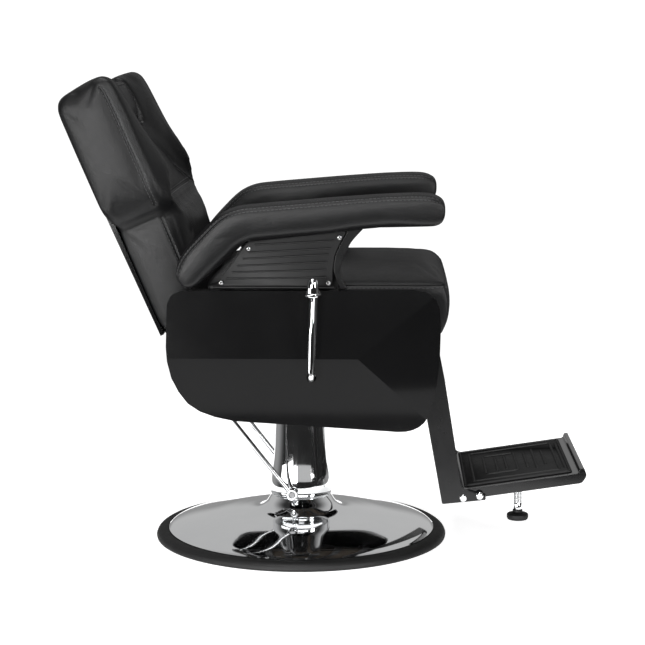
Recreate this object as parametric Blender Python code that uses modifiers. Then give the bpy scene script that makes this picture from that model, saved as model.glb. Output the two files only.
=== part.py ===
"""Reclining hydraulic barber chair.

The chair stands on z = 0 with its column on the Z axis. +X points to the front of the chair, +Y to its left.
Every length is in metres. Each moving group hangs from an empty that sits on its joint's axis.
"""
import math

import bmesh
import bpy
from mathutils import Vector

# ---------------------------------------------------------------- driving dimensions
GAP = 0.0003                        # clearance between pieces that touch
ROUND_STEPS = 36                    # facets round a turned piece
WIDE_STEPS = 48                     # facets round the base

RING_RADIUS = 0.310
RING_HEIGHT = 0.0185
DISC_RADIUS = 0.2835
DISC_THICKNESS = 0.0030
DISC_PROFILE = [(0.0640, 0.0930), (0.0645, 0.0870), (0.0720, 0.0860), (0.0900, 0.0750),
                (0.1150, 0.0630), (0.1600, 0.0480),
                (0.2100, 0.0390), (0.2500, 0.0310), (0.2750, 0.0245), (DISC_RADIUS, 0.0185)]
BASE_PLATE_RADIUS = 0.2600
BASE_PLATE_Z = (0.0, 0.0120)

LEVER_AXIS = Vector((-0.0165, 0.0, 0.1020))
LEVER_LENGTH = 0.300
LEVER_ANGLE = math.radians(52.0)    # rise of the pump lever above the floor
LEVER_HALF_WIDTH = 0.0755
LEVER_ROD_RADIUS = 0.0050
LEVER_SHAFT_RADIUS = 0.0070

PUMP_BLOCK_TOP = 0.1250
CYLINDER_TOP = 0.2970
CYLINDER_RADIUS = 0.0420
CYLINDER_BORE = 0.0305
PISTON_RADIUS = 0.0300
ROD_RADIUS = 0.0250
SPINDLE_RADIUS = 0.0180
SPINDLE_Z = (0.3450, 0.3950)
COVER_TOP = 0.3150
COVER_WALL = 0.0020
COVER_PROFILE = [(0.0560, COVER_TOP), (0.0562, 0.2300), (0.0575, 0.1650), (0.0600, 0.1420),
                 (0.0640, 0.1200), (0.0680, 0.1020), (0.0695, 0.0880)]

FRAME_Z = (0.4160, 0.4360)
FRAME_X = (-0.1300, 0.2350)
FRAME_HALF_WIDTH = 0.2500
RAIL = 0.0250
BOARD_THICKNESS = 0.0130
SEAT_HALF_WIDTH = 0.2430

BACK_AXIS = Vector((-0.2050, 0.0, 0.4550))
FOOT_AXIS = Vector((0.2620, 0.0, 0.4350))
RECLINE_LEVER_AXIS = Vector((0.0332, -0.3350, 0.3945))
HINGE_SHAFT_RADIUS = 0.0080
FOOT_SHAFT_RADIUS = 0.0090
RECLINE_ANGLE = math.radians(45.0)
FOOT_RATIO = 0.8                    # footrest angle over recline angle
BACK_CRANK = 0.0550
FOOT_CRANK = BACK_CRANK / FOOT_RATIO
STUD_RADIUS = 0.0040
LINK_PLANE = 0.1200                 # middle of the crank plates, left for the link bar, right for the strut
PLATE = 0.0060                      # thickness of the hinge plates

PANEL_INNER = 0.2680
PANEL_RIM = 0.2960
PANEL_WALL = 0.0040
PANEL_RISE = 0.0180                 # height of the facets' ridge over the rim
PANEL_RIDGE_Z = 0.4510
PANEL_PEAK_X = 0.1245
PANEL_TOP = 0.5657
PANEL_BOTTOM = 0.2830
PANEL_FRONT = 0.2867

ARM_BRACKET_Y = (0.2605, 0.2655)
ARM_PLATE_Y = (0.2680, 0.2890)
ARM_PAD_Y = (0.2460, 0.3300)

ARM_OUTER = 0.1875
ARM_THICKNESS = 0.0100
TRAY_HALF_WIDTH = 0.1770
TRAY_TILT = math.radians(8.6)
FOOT_STOP_X = 0.4640
STEM_RADIUS = 0.0090

# The straight line behind the backrest: start point, direction up the back and direction to its front.
BACK_START = Vector((-0.2664, 0.0, 0.4427))
BACK_LEAN = math.radians(23.2)
BACK_UP = Vector((-math.sin(BACK_LEAN), 0.0, math.cos(BACK_LEAN)))
BACK_FORWARD = Vector((math.cos(BACK_LEAN), 0.0, math.sin(BACK_LEAN)))


# ---------------------------------------------------------------- scene, materials, helpers
def clear_scene():
    for obj in list(bpy.data.objects):
        bpy.data.objects.remove(obj, do_unlink=True)


def make_collection(name):
    collection = bpy.data.collections.new(name)
    bpy.context.scene.collection.children.link(collection)
    return collection


def make_material(name, colour, roughness, metallic=0.0):
    material = bpy.data.materials.new(name)
    material.use_nodes = True
    shader = material.node_tree.nodes["Principled BSDF"]
    shader.inputs["Base Color"].default_value = (*colour, 1.0)
    shader.inputs["Roughness"].default_value = roughness
    shader.inputs["Metallic"].default_value = metallic
    material.diffuse_color = (*colour, 1.0)
    return material


def make_body(name, location):
    """An empty on a joint's axis; every piece of the moving group is its child."""
    empty = bpy.data.objects.new(name, None)
    empty.location = location
    CHAIR.objects.link(empty)
    return empty


def place(obj, body, material):
    """Put a piece that stands at its world place into its group, without moving it."""
    obj.data.materials.clear()
    obj.data.materials.append(material)
    obj.parent = body
    obj.location = Vector(obj.location) - Vector(body.location)
    return obj


def as_cutter(obj):
    for collection in list(obj.users_collection):
        collection.objects.unlink(obj)
    CUTTERS.objects.link(obj)
    obj.hide_render = True
    obj.display_type = "WIRE"
    return obj


def boolean(obj, other, operation):
    """Join or cut with another mesh, which then serves only as the operand."""
    as_cutter(other)
    modifier = obj.modifiers.new(operation.title(), "BOOLEAN")
    modifier.operation = operation
    modifier.object = other
    modifier.solver = "EXACT"
    return obj


def mesh_object(name, mesh):
    obj = bpy.data.objects.new(name, mesh)
    CHAIR.objects.link(obj)
    return obj


def bevel(obj, width, segments=2, angle=35.0):
    weld = obj.modifiers.new("Weld", "WELD")
    weld.merge_threshold = 0.00001
    modifier = obj.modifiers.new("Bevel", "BEVEL")
    modifier.width = width
    modifier.segments = segments
    modifier.limit_method = "ANGLE"
    modifier.angle_limit = math.radians(angle)
    return obj


def box(name, low, high):
    """A box between two corners."""
    low = Vector(low)
    high = Vector(high)
    mesh = bpy.data.meshes.new(name)
    shape = bmesh.new()
    bmesh.ops.create_cube(shape, size=1.0)
    bmesh.ops.scale(shape, vec=high - low, verts=shape.verts)
    shape.to_mesh(mesh)
    shape.free()
    obj = mesh_object(name, mesh)
    obj.location = (low + high) / 2.0
    return obj


def rod(name, radius, start, end, steps=24):
    """A round bar between two points."""
    start = Vector(start)
    end = Vector(end)
    mesh = bpy.data.meshes.new(name)
    shape = bmesh.new()
    bmesh.ops.create_cone(shape, cap_ends=True, segments=steps, radius1=radius, radius2=radius,
                          depth=(end - start).length)
    shape.to_mesh(mesh)
    shape.free()
    mesh.shade_smooth()
    mesh.set_sharp_from_angle(angle=math.radians(40))
    obj = mesh_object(name, mesh)
    obj.location = (start + end) / 2.0
    obj.rotation_euler = (end - start).to_track_quat("Z", "Y").to_euler()
    return obj


def turned(name, profile, steps=ROUND_STEPS, loop=False, location=(0.0, 0.0, 0.0), rotation=(0.0, 0.0, 0.0)):
    """A turned piece. The profile of (radius, height) runs down its outer side; loop closes it into a ring."""
    mesh = bpy.data.meshes.new(name)
    shape = bmesh.new()
    points = [shape.verts.new((radius, 0.0, height)) for radius, height in profile]
    for first, second in zip(points, points[1:]):
        shape.edges.new((first, second))
    if loop:
        shape.edges.new((points[-1], points[0]))
    shape.to_mesh(mesh)
    shape.free()
    obj = mesh_object(name, mesh)
    obj.location = location
    obj.rotation_euler = rotation
    screw = obj.modifiers.new("Turn", "SCREW")
    screw.steps = steps
    screw.render_steps = steps
    screw.use_merge_vertices = True
    screw.merge_threshold = 0.00001
    screw.use_smooth_shade = False
    return obj


def slab(name, outline, y_low, y_high, holes=()):
    """A flat piece cut to an outline of (x, z) points, standing between two y planes. A hole is (x, z, radius)."""
    curve = bpy.data.curves.new(name, "CURVE")
    curve.dimensions = "2D"
    curve.fill_mode = "BOTH"
    curve.extrude = (y_high - y_low) / 2.0
    loops = [outline]
    for x, z, radius in holes:
        loops.append([(x + radius * math.cos(a), z + radius * math.sin(a)) for a in arc_angles(0, 360, 25)[:-1]])
    for points in loops:
        spline = curve.splines.new("POLY")
        spline.points.add(len(points) - 1)
        for point, (x, z) in zip(spline.points, points):
            point.co = (x, z, 0.0, 1.0)
        spline.use_cyclic_u = True
    obj = bpy.data.objects.new(name, curve)
    CHAIR.objects.link(obj)
    obj.location = (0.0, (y_low + y_high) / 2.0, 0.0)
    obj.rotation_euler = (math.radians(90), 0.0, 0.0)
    return obj


def wire(name, points, radius):
    """A round bar bent through points."""
    curve = bpy.data.curves.new(name, "CURVE")
    curve.dimensions = "3D"
    curve.bevel_depth = radius
    curve.bevel_resolution = 3
    curve.use_fill_caps = True
    spline = curve.splines.new("POLY")
    spline.points.add(len(points) - 1)
    for point, place_at in zip(spline.points, points):
        point.co = (*place_at, 1.0)
    obj = bpy.data.objects.new(name, curve)
    CHAIR.objects.link(obj)
    return obj


def as_mesh(obj):
    """Turn a curve object into a closed mesh object of the same name and place."""
    name = obj.name
    bpy.context.view_layer.update()
    graph = bpy.context.evaluated_depsgraph_get()
    mesh = bpy.data.meshes.new_from_object(obj.evaluated_get(graph))
    shape = bmesh.new()
    shape.from_mesh(mesh)
    bmesh.ops.remove_doubles(shape, verts=shape.verts, dist=0.000001)
    shape.to_mesh(mesh)
    shape.free()
    world = obj.matrix_world.copy()
    bpy.data.objects.remove(obj, do_unlink=True)
    solid = mesh_object(name, mesh)
    solid.matrix_world = world
    return solid


def arc_angles(start, end, count):
    return [math.radians(start + (end - start) * i / (count - 1)) for i in range(count)]


def arc(centre, radius, start, end, count):
    """Points (x, z) round a centre; angles in degrees from +X towards +Z."""
    return [(centre[0] + radius * math.cos(a), centre[1] + radius * math.sin(a))
            for a in arc_angles(start, end, count)]


def back_point(up, forward):
    """(x, z) of a point of the backrest: distance up its rear line and distance in front of it."""
    point = BACK_START + BACK_UP * up + BACK_FORWARD * forward
    return (point.x, point.z)


def side_y(side, near, far):
    """Both y planes of a piece on one side of the chair, low first. side is -1 right or 1 left."""
    return (min(side * near, side * far), max(side * near, side * far))


SIDES = (("right", -1), ("left", 1))

clear_scene()
CHAIR = make_collection("hydraulic_barber_chair")
CUTTERS = make_collection("cutters")

LEATHER = make_material("leatherette", (0.020, 0.020, 0.021), 0.42)
GLOSS = make_material("gloss_plastic", (0.012, 0.012, 0.013), 0.18)
MATTE = make_material("matte_plastic", (0.022, 0.022, 0.023), 0.45)
RUBBER = make_material("rubber", (0.030, 0.030, 0.031), 0.75)
CHROME = make_material("chrome", (0.80, 0.81, 0.82), 0.06, 1.0)
STEEL = make_material("steel", (0.45, 0.45, 0.46), 0.35, 1.0)
PAINT = make_material("black_paint", (0.018, 0.018, 0.019), 0.32)
WOOD = make_material("plywood", (0.48, 0.34, 0.20), 0.65)

BASE = make_body("base_body", (0.0, 0.0, 0.0))
LEVER = make_body("pump_lever_axis", LEVER_AXIS)
LIFT = make_body("lift_axis", (0.0, 0.0, SPINDLE_Z[0]))
SEAT = make_body("swivel_axis", (0.0, 0.0, FRAME_Z[0]))
HANDLE = make_body("recline_lever_axis", RECLINE_LEVER_AXIS)
BACK = make_body("back_axis", BACK_AXIS)
HEADREST = make_body("headrest_axis", BACK_START + BACK_UP * 0.40)
STRUT = make_body("strut_axis", BACK_AXIS - Vector((0.0, 0.0, BACK_CRANK)))
FOOTREST = make_body("footrest_axis", FOOT_AXIS)
LINK = make_body("link_axis", FOOT_AXIS - Vector((0.0, 0.0, FOOT_CRANK)))
STOP = make_body("foot_stop_axis", (FOOT_STOP_X, 0.0, 0.0))


# ---------------------------------------------------------------- base and pump
def build_base():
    lip = DISC_PROFILE[-1][1] - DISC_THICKNESS - 2 * GAP
    ring = [(DISC_RADIUS + 0.0008, RING_HEIGHT), (0.2985, 0.0170), (0.3070, 0.0115), (RING_RADIUS, 0.0045),
            (RING_RADIUS - 0.001, 0.0), (0.2680, 0.0), (0.2680, lip), (DISC_RADIUS + 0.0008, lip)]
    place(turned("base_ring", ring, WIDE_STEPS, loop=True), BASE, RUBBER)

    under = [(radius, height - DISC_THICKNESS) for radius, height in reversed(DISC_PROFILE)]
    place(turned("base_disc", DISC_PROFILE + under, WIDE_STEPS, loop=True), BASE, CHROME)

    low, high = BASE_PLATE_Z
    plate = [(0.0, high), (BASE_PLATE_RADIUS, high), (BASE_PLATE_RADIUS, low), (0.0, low)]
    place(turned("base_plate", plate, WIDE_STEPS), BASE, STEEL)

    block = [(0.0, PUMP_BLOCK_TOP), (0.0450, PUMP_BLOCK_TOP), (0.0450, high + GAP), (0.0, high + GAP)]
    block = turned("pump_block", block)
    bore = rod("pump_block_bore", LEVER_SHAFT_RADIUS + 2 * GAP,
               LEVER_AXIS - Vector((0, 0.06, 0)), LEVER_AXIS + Vector((0, 0.06, 0)))
    place(boolean(block, bore, "DIFFERENCE"), BASE, STEEL)

    bottom = PUMP_BLOCK_TOP + GAP
    tube = [(CYLINDER_RADIUS, CYLINDER_TOP), (CYLINDER_RADIUS, bottom),
            (CYLINDER_BORE, bottom), (CYLINDER_BORE, CYLINDER_TOP)]
    place(turned("pump_cylinder", tube, loop=True), BASE, STEEL)

    gland_bore = ROD_RADIUS + 2 * GAP
    gland = [(CYLINDER_RADIUS - 0.003, CYLINDER_TOP + 0.013), (CYLINDER_RADIUS, CYLINDER_TOP + 0.010),
             (CYLINDER_RADIUS, CYLINDER_TOP + GAP), (gland_bore, CYLINDER_TOP + GAP),
             (gland_bore, CYLINDER_TOP + 0.013)]
    place(turned("cylinder_gland", gland, loop=True), BASE, STEEL)

    inside = [(radius - COVER_WALL, height) for radius, height in reversed(COVER_PROFILE)]
    cover = turned("column_cover", COVER_PROFILE + inside, loop=True)
    hole = rod("column_cover_hole", LEVER_SHAFT_RADIUS + 0.002,
               LEVER_AXIS - Vector((0, 0.09, 0)), LEVER_AXIS + Vector((0, 0.09, 0)))
    place(boolean(cover, hole, "DIFFERENCE"), BASE, CHROME)


def build_pump_lever():
    hub_half = 0.0050
    reach = LEVER_HALF_WIDTH + hub_half
    start = LEVER_AXIS - Vector((0, reach + 0.001, 0))
    end = LEVER_AXIS + Vector((0, reach + 0.001, 0))
    place(rod("lever_shaft", LEVER_SHAFT_RADIUS, start, end), LEVER, STEEL)

    along = Vector((-math.cos(LEVER_ANGLE), 0.0, math.sin(LEVER_ANGLE)))
    corner = 0.018
    right = Vector((0, -LEVER_HALF_WIDTH, 0))
    path = [LEVER_AXIS + right, LEVER_AXIS + right + along * (LEVER_LENGTH - corner)]
    for angle in arc_angles(18, 90, 5):
        path.append(LEVER_AXIS + right + Vector((0, corner * (1 - math.cos(angle)), 0))
                    + along * (LEVER_LENGTH - corner + corner * math.sin(angle)))
    path += [Vector((point.x, -point.y, point.z)) for point in reversed(path)]
    bar = as_mesh(wire("lever_rod", path, LEVER_ROD_RADIUS))
    for name, side in SIDES:
        middle = LEVER_AXIS + Vector((0, side * LEVER_HALF_WIDTH, 0))
        offset = Vector((0, hub_half, 0))
        boolean(bar, rod("lever_hub_" + name, 0.0120, middle - offset, middle + offset), "UNION")
    bore = rod("lever_hub_bore", LEVER_SHAFT_RADIUS + GAP,
               LEVER_AXIS - Vector((0, 0.1, 0)), LEVER_AXIS + Vector((0, 0.1, 0)))
    place(boolean(bar, bore, "DIFFERENCE"), LEVER, CHROME)

    half = 0.0500
    bore = LEVER_ROD_RADIUS + GAP
    sleeve = [(0.0095, half), (0.0115, half - 0.003), (0.0115, 0.003 - half), (0.0095, -half),
              (bore, -half), (bore, half)]
    sleeve = turned("lever_grip", sleeve, 24, loop=True, location=LEVER_AXIS + along * LEVER_LENGTH,
                    rotation=(math.radians(90), 0, 0))
    place(sleeve, LEVER, RUBBER)


def build_lift():
    bottom = PUMP_BLOCK_TOP + 0.003
    low, high = SPINDLE_Z
    profile = [(0.0, high), (SPINDLE_RADIUS, high), (SPINDLE_RADIUS, low), (ROD_RADIUS, low),
               (ROD_RADIUS, bottom + 0.015), (PISTON_RADIUS, bottom + 0.015), (PISTON_RADIUS, bottom), (0.0, bottom)]
    place(turned("piston_rod", profile), LIFT, CHROME)


# ---------------------------------------------------------------- seat
def panel_height(x, z):
    """How far the faceted face of a side panel stands over its rim."""
    upper = PANEL_RISE * (PANEL_TOP - z) / (PANEL_TOP - PANEL_RIDGE_Z)
    lower = PANEL_RISE * (z - PANEL_BOTTOM) / (PANEL_RIDGE_Z - PANEL_BOTTOM)
    front = PANEL_RISE * (PANEL_FRONT - x) / (PANEL_FRONT - PANEL_PEAK_X)
    return min(upper, lower, front)


def build_swivel_hub():
    bore = SPINDLE_RADIUS + 2 * GAP
    low, high = SPINDLE_Z
    low += 0.0008
    high += 0.0008
    top = FRAME_Z[0] - GAP
    profile = [(0.0, top), (0.0700, top), (0.0700, top - 0.010), (0.0340, top - 0.014), (0.0340, low),
               (bore, low), (bore, high), (0.0, high)]
    place(turned("swivel_hub", profile), SEAT, PAINT)


def build_seat_frame():
    low, high = FRAME_Z
    rear, front = FRAME_X
    windows = []
    bars = (rear, -0.0600, 0.0350, 0.1050, front - RAIL)
    for first, second in zip(bars, bars[1:]):
        windows.append((first + RAIL, second))
    frame = box("seat_frame", (rear, -FRAME_HALF_WIDTH, low), (front, FRAME_HALF_WIDTH, high))
    inner = FRAME_HALF_WIDTH - RAIL
    for index, (first, second) in enumerate(windows):
        window = box("seat_frame_window_%d" % index, (first, -inner, low - 0.01), (second, inner, high + 0.01))
        boolean(frame, window, "DIFFERENCE")
    ear = ([(-0.1000, low + 0.001), (-0.1000, high - 0.001), (-0.1900, 0.4740)]
           + arc((BACK_AXIS.x, BACK_AXIS.z), 0.0170, 60, 250, 8))
    lug = ([(front - 0.015, low + 0.001), (front - 0.015, high - 0.001), (front, high - 0.001)]
           + arc((FOOT_AXIS.x, FOOT_AXIS.z), 0.0160, 120, -90, 8))
    for name, side in SIDES:
        y_low, y_high = side_y(side, 0.2360, 0.2420)
        hinge_ear = slab("seat_frame_ear_" + name, ear, y_low, y_high,
                         [(BACK_AXIS.x, BACK_AXIS.z, HINGE_SHAFT_RADIUS + GAP)])
        boolean(frame, as_mesh(hinge_ear), "UNION")
        y_low, y_high = side_y(side, 0.1450, 0.1510)
        shaft_lug = slab("seat_frame_lug_" + name, lug, y_low, y_high,
                         [(FOOT_AXIS.x, FOOT_AXIS.z, FOOT_SHAFT_RADIUS + GAP)])
        boolean(frame, as_mesh(shaft_lug), "UNION")
        y_low, y_high = side_y(side, FRAME_HALF_WIDTH - 0.005, ARM_BRACKET_Y[0] - GAP)
        pad = box("seat_frame_arm_pad_" + name, (-0.08, y_low, low + 0.002), (0.08, y_high, high - 0.002))
        boolean(frame, pad, "UNION")
        for end_name, x in (("rear", -0.115), ("front", 0.200)):
            wall = PANEL_RIM + panel_height(x + 0.01, low) - PANEL_WALL - 0.003
            y_low, y_high = side_y(side, FRAME_HALF_WIDTH - 0.005, wall)
            stay = box("seat_frame_stay_%s_%s" % (end_name, name), (x - 0.01, y_low, low + 0.002),
                       (x + 0.01, y_high, high - 0.002))
            boolean(frame, stay, "UNION")
    strut_y = -LINK_PLANE - PLATE / 2 - 0.0055
    bracket = box("seat_frame_strut_bracket", (0.1155, strut_y - 0.012, BACK_AXIS.z - BACK_CRANK - 0.009),
                  (0.1235, strut_y + 0.012, low + 0.005))
    boolean(frame, bracket, "UNION")
    place(frame, SEAT, PAINT)


def build_seat():
    build_swivel_hub()
    build_seat_frame()
    top = FRAME_Z[1]
    board = box("seat_board", (-0.1300, -0.2350, top + GAP), (0.2320, 0.2350, top + BOARD_THICKNESS))
    place(board, SEAT, WOOD)
    foam = top + BOARD_THICKNESS + GAP
    outline = [(-0.1300, foam), (0.2340, foam), (0.2400, 0.4650), (0.2930, 0.4680), (0.3085, 0.4980),
               (0.3115, 0.5230), (0.3075, 0.5480), (0.2985, 0.5700), (0.2800, 0.5900), (0.2400, 0.6000),
               (-0.1850, 0.6000), (-0.1965, 0.5900), (-0.1600, 0.5150)]
    cushion = slab("seat_cushion", outline, -SEAT_HALF_WIDTH, SEAT_HALF_WIDTH)
    place(bevel(cushion, 0.010, 2, 50), SEAT, LEATHER)


def build_side_panel(name, side):
    """A pressed shell: flat outline, three sloping facets, open on the side of the seat."""
    outline = ([(-0.2530, 0.4540), (-0.2506, 0.4250), (-0.2430, 0.3920), (-0.2295, 0.3640), (-0.2118, 0.3400),
                (-0.1882, 0.3238), (-0.1581, 0.3125), (-0.1185, 0.3042), (0.2038, 0.2838)]
               + [(0.2314, 0.2870), (0.2569, 0.3032), (0.2704, 0.3294), (0.2799, 0.3695), (0.2852, 0.4294),
                  (PANEL_FRONT, 0.4889), (0.2843, 0.5285), (0.2764, 0.5481), (0.2606, 0.5629), (0.2353, PANEL_TOP)]
               + [(-0.2247, 0.5635), (-0.2430, 0.5550), (-0.2510, 0.5380)])
    mesh = bpy.data.meshes.new("side_panel_" + name)
    shape = bmesh.new()
    rim = [shape.verts.new((x, side * PANEL_INNER, z)) for x, z in outline]
    base_face = shape.faces.new(rim)
    grown = bmesh.ops.extrude_face_region(shape, geom=[base_face])
    top_verts = [item for item in grown["geom"] if isinstance(item, bmesh.types.BMVert)]
    bmesh.ops.translate(shape, vec=(0, side * (PANEL_RIM + PANEL_RISE - PANEL_INNER), 0), verts=top_verts)
    centre = Vector((0.0, side * PANEL_RIM, 0.0))
    planes = (
        (Vector((0, side, PANEL_RISE / (PANEL_TOP - PANEL_RIDGE_Z))), Vector((0, 0, PANEL_TOP))),
        (Vector((0, side, -PANEL_RISE / (PANEL_RIDGE_Z - PANEL_BOTTOM))), Vector((0, 0, PANEL_BOTTOM))),
        (Vector((PANEL_RISE / (PANEL_FRONT - PANEL_PEAK_X), side, 0)), Vector((PANEL_FRONT, 0, 0))),
    )
    for normal, point in planes:
        geometry = shape.verts[:] + shape.edges[:] + shape.faces[:]
        cut = bmesh.ops.bisect_plane(shape, geom=geometry, dist=0.00001, plane_co=point + centre,
                                     plane_no=normal.normalized(), clear_outer=True)
        edges = [item for item in cut["geom_cut"] if isinstance(item, bmesh.types.BMEdge)]
        bmesh.ops.holes_fill(shape, edges=edges, sides=0)
    bmesh.ops.recalc_face_normals(shape, faces=shape.faces)
    inner = [face for face in shape.faces
             if all(abs(abs(vert.co.y) - PANEL_INNER) < 0.00001 for vert in face.verts)]
    bmesh.ops.delete(shape, geom=inner, context="FACES")
    shape.to_mesh(mesh)
    shape.free()
    panel = mesh_object("side_panel_" + name, mesh)
    shell = panel.modifiers.new("Wall", "SOLIDIFY")
    shell.thickness = PANEL_WALL
    shell.offset = -1.0
    shell.use_even_offset = True
    if side < 0:
        start = RECLINE_LEVER_AXIS + Vector((0, -0.02, 0))
        hole = rod("side_panel_hole", 0.0095, start, start + Vector((0, 0.08, 0)))
        boolean(panel, hole, "DIFFERENCE")
    place(panel, SEAT, GLOSS)


PAD_UNDER = [(-0.1448, 0.6196), (-0.0985, 0.6642), (-0.0410, 0.6700), (0.0659, 0.6800), (0.1346, 0.6916)]


PLATE_SCREWS = ((-0.1450, 0.5790), (-0.0905, 0.6465), (0.0875, 0.6690), (0.0660, 0.5790))
PLATE_GROOVES = (((-0.0770, 0.6530), (0.0740, 0.6610)), ((-0.0885, 0.6380), (0.0680, 0.6462)),
                 ((-0.0996, 0.6250), (0.0640, 0.6338)), ((-0.1110, 0.6112), (0.0605, 0.6192)),
                 ((-0.1212, 0.5985), (0.0590, 0.6035)), ((-0.1318, 0.5858), (0.0590, 0.5885)))
GROOVE = 0.0034


def under_pad(x, gap):
    """Height just under an armrest pad at x."""
    for (x0, z0), (x1, z1) in zip(PAD_UNDER, PAD_UNDER[1:]):
        if x0 <= x <= x1:
            return z0 + (z1 - z0) * (x - x0) / (x1 - x0) - gap
    return PAD_UNDER[-1][1] - gap


def build_armrest(name, side):
    hole = (RECLINE_LEVER_AXIS.x, RECLINE_LEVER_AXIS.z, 0.0078)
    bracket = ([(-0.1000, FRAME_Z[0]), (0.0132, FRAME_Z[0] - 0.004)]
               + arc(hole[:2], 0.0200, 180, 360, 9)
               + [(0.0532, FRAME_Z[0] - 0.004), (0.1000, FRAME_Z[0]), (0.0850, 0.5700), (0.0850, 0.6100),
                  (0.1000, 0.6450), (0.1060, under_pad(0.1060, 0.001)), (0.0659, under_pad(0.0659, 0.001)),
                  (-0.0410, under_pad(-0.0410, 0.001)), (-0.0940, under_pad(-0.0940, 0.001)),
                  (-0.0990, 0.6570), (-0.1460, 0.5900), (-0.1240, 0.5740)])
    y_low, y_high = side_y(side, *ARM_BRACKET_Y)
    place(slab("arm_bracket_" + name, bracket, y_low, y_high, [hole]), SEAT, PAINT)

    foot = PANEL_TOP + 0.001
    outline = [(-0.1560, foot), (0.0720, foot), (0.0738, 0.5900), (0.0737, 0.6028), (0.0777, 0.6329),
               (0.0880, 0.6570), (0.0985, 0.6760), (0.1005, under_pad(0.1005, 0.0012)),
               (0.0659, under_pad(0.0659, 0.0012)), (-0.0410, under_pad(-0.0410, 0.0012)),
               (-0.0880, under_pad(-0.0880, 0.0012)), (-0.0945, 0.6560)]
    y_low, y_high = side_y(side, *ARM_PLATE_Y)
    plate = as_mesh(slab("arm_plate_" + name, outline, y_low, y_high))
    outer = side * ARM_PLATE_Y[1]
    for row, ((rear, rear_z), (front, front_z)) in enumerate(PLATE_GROOVES):
        strip = [(rear, rear_z), (front, front_z), (front, front_z + GROOVE), (rear, rear_z + GROOVE)]
        y_low, y_high = side_y(side, ARM_PLATE_Y[1] - GROOVE / 2, ARM_PLATE_Y[1] + GROOVE / 2)
        cutter = slab("arm_plate_groove_%s_%d" % (name, row), strip, y_low, y_high)
        boolean(plate, as_mesh(cutter), "DIFFERENCE")
    place(plate, SEAT, MATTE)
    for index, (x, z) in enumerate(PLATE_SCREWS):
        head = [(0.0, 0.0026), (0.0030, 0.0022), (0.0048, 0.0008), (0.0050, GAP), (0.0, GAP)]
        screw = turned("arm_plate_screw_%s_%d" % (name, index + 1), head, 16, location=(x, outer, z),
                       rotation=(math.radians(-90 * side), 0, 0))
        place(screw, SEAT, CHROME)

    front_edge = [(0.1020, foot), (0.0925, 0.5864), (0.0885, 0.6054), (0.0940, 0.6244), (0.1030, 0.6452),
                  (0.1125, 0.6622), (0.1330, under_pad(0.1330, 0.001))]
    rear_edge = [(0.1022, under_pad(0.1022, 0.001)), (0.1002, 0.6755), (0.0900, 0.6565), (0.0795, 0.6329),
                 (0.0760, 0.6054), (0.0815, 0.5864), (0.0890, foot)]
    y_low, y_high = side_y(side, 0.2665, 0.2870)
    place(slab("arm_support_" + name, front_edge + rear_edge, y_low, y_high), SEAT, PAINT)

    pad = [(0.2925, 0.7200), (0.2905, 0.7340), (0.2805, 0.7430), (0.2580, 0.7515), (0.2244, 0.7525),
           (0.1123, 0.7460), (-0.0001, 0.7368), (-0.1015, 0.7275), (-0.1278, 0.7210), (-0.1505, 0.7075),
           (-0.1771, 0.6835), (-0.2038, 0.6540), (-0.2260, 0.6190), (-0.2310, 0.5990), (-0.2260, 0.5850),
           (-0.2106, 0.5750), (-0.1912, 0.5790)] + PAD_UNDER + [(0.2242, 0.6950), (0.2760, 0.6947), (0.2885, 0.7050)]
    y_low, y_high = side_y(side, *ARM_PAD_Y)
    place(bevel(slab("arm_pad_" + name, pad, y_low, y_high), 0.010, 2, 60), SEAT, LEATHER)


def build_strut():
    """Gas strut under the seat: the cylinder on the seat frame, the rod's eye on the back's crank."""
    y = -LINK_PLANE - PLATE / 2 - 0.0055
    half = RECLINE_ANGLE / 2
    stud = crank_end(BACK_AXIS, BACK_CRANK, half)
    z = BACK_AXIS.z - BACK_CRANK * (1 + math.cos(half)) / 2
    mouth, back_wall, end = -0.0750, 0.1050, 0.1150
    profile = [(0.0, end), (0.0125, end), (0.0125, mouth), (0.0056, mouth), (0.0056, mouth + 0.008),
               (0.0105, mouth + 0.008), (0.0105, back_wall), (0.0, back_wall)]
    cylinder = turned("strut_cylinder", profile, 32, location=(0, y, z), rotation=(0, math.radians(90), 0))
    place(cylinder, SEAT, PAINT)

    inner_end = 0.0200
    start = stud[0] + 0.0090
    profile = [(0.0, inner_end), (0.0098, inner_end), (0.0098, inner_end - 0.010), (0.0050, inner_end - 0.010),
               (0.0050, start), (0.0, start)]
    bar = turned("strut_rod", profile, 32, location=(0, y, z), rotation=(0, math.radians(90), 0))
    eye = as_mesh(slab("strut_rod_eye", arc((stud[0], z), 0.0115, 0, 345, 24), y - 0.0025, y + 0.0025,
                       [(stud[0], z, STUD_RADIUS + 0.0026)]))
    place(boolean(bar, eye, "UNION"), STRUT, STEEL)


def crank_end(axis, radius, behind):
    """(x, z) of a crank's stud, at an angle behind straight down."""
    return (axis.x - radius * math.sin(behind), axis.z - radius * math.cos(behind))


# ---------------------------------------------------------------- recline lever
def build_recline_lever():
    x, y, z = RECLINE_LEVER_AXIS
    corner = 0.012
    path = [(x, -0.2450, z), (x, y + corner, z)]
    for angle in arc_angles(15, 90, 5):
        path.append((x, y + corner - corner * math.sin(angle), z + corner * (1 - math.cos(angle))))
    path.append((x + 0.0035, y, 0.5570))
    place(as_mesh(wire("recline_lever", path, 0.0065)), HANDLE, CHROME)
    knob = [(0.0, 0.0380), (0.0060, 0.0365), (0.0100, 0.0320), (0.0115, 0.0240), (0.0112, 0.0080),
            (0.0135, 0.0070), (0.0135, 0.0010), (0.0100, 0.0), (0.0, 0.0)]
    knob = turned("recline_knob", knob, 32, location=(x + 0.0035, y, 0.5575))
    place(knob, HANDLE, CHROME)


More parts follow.
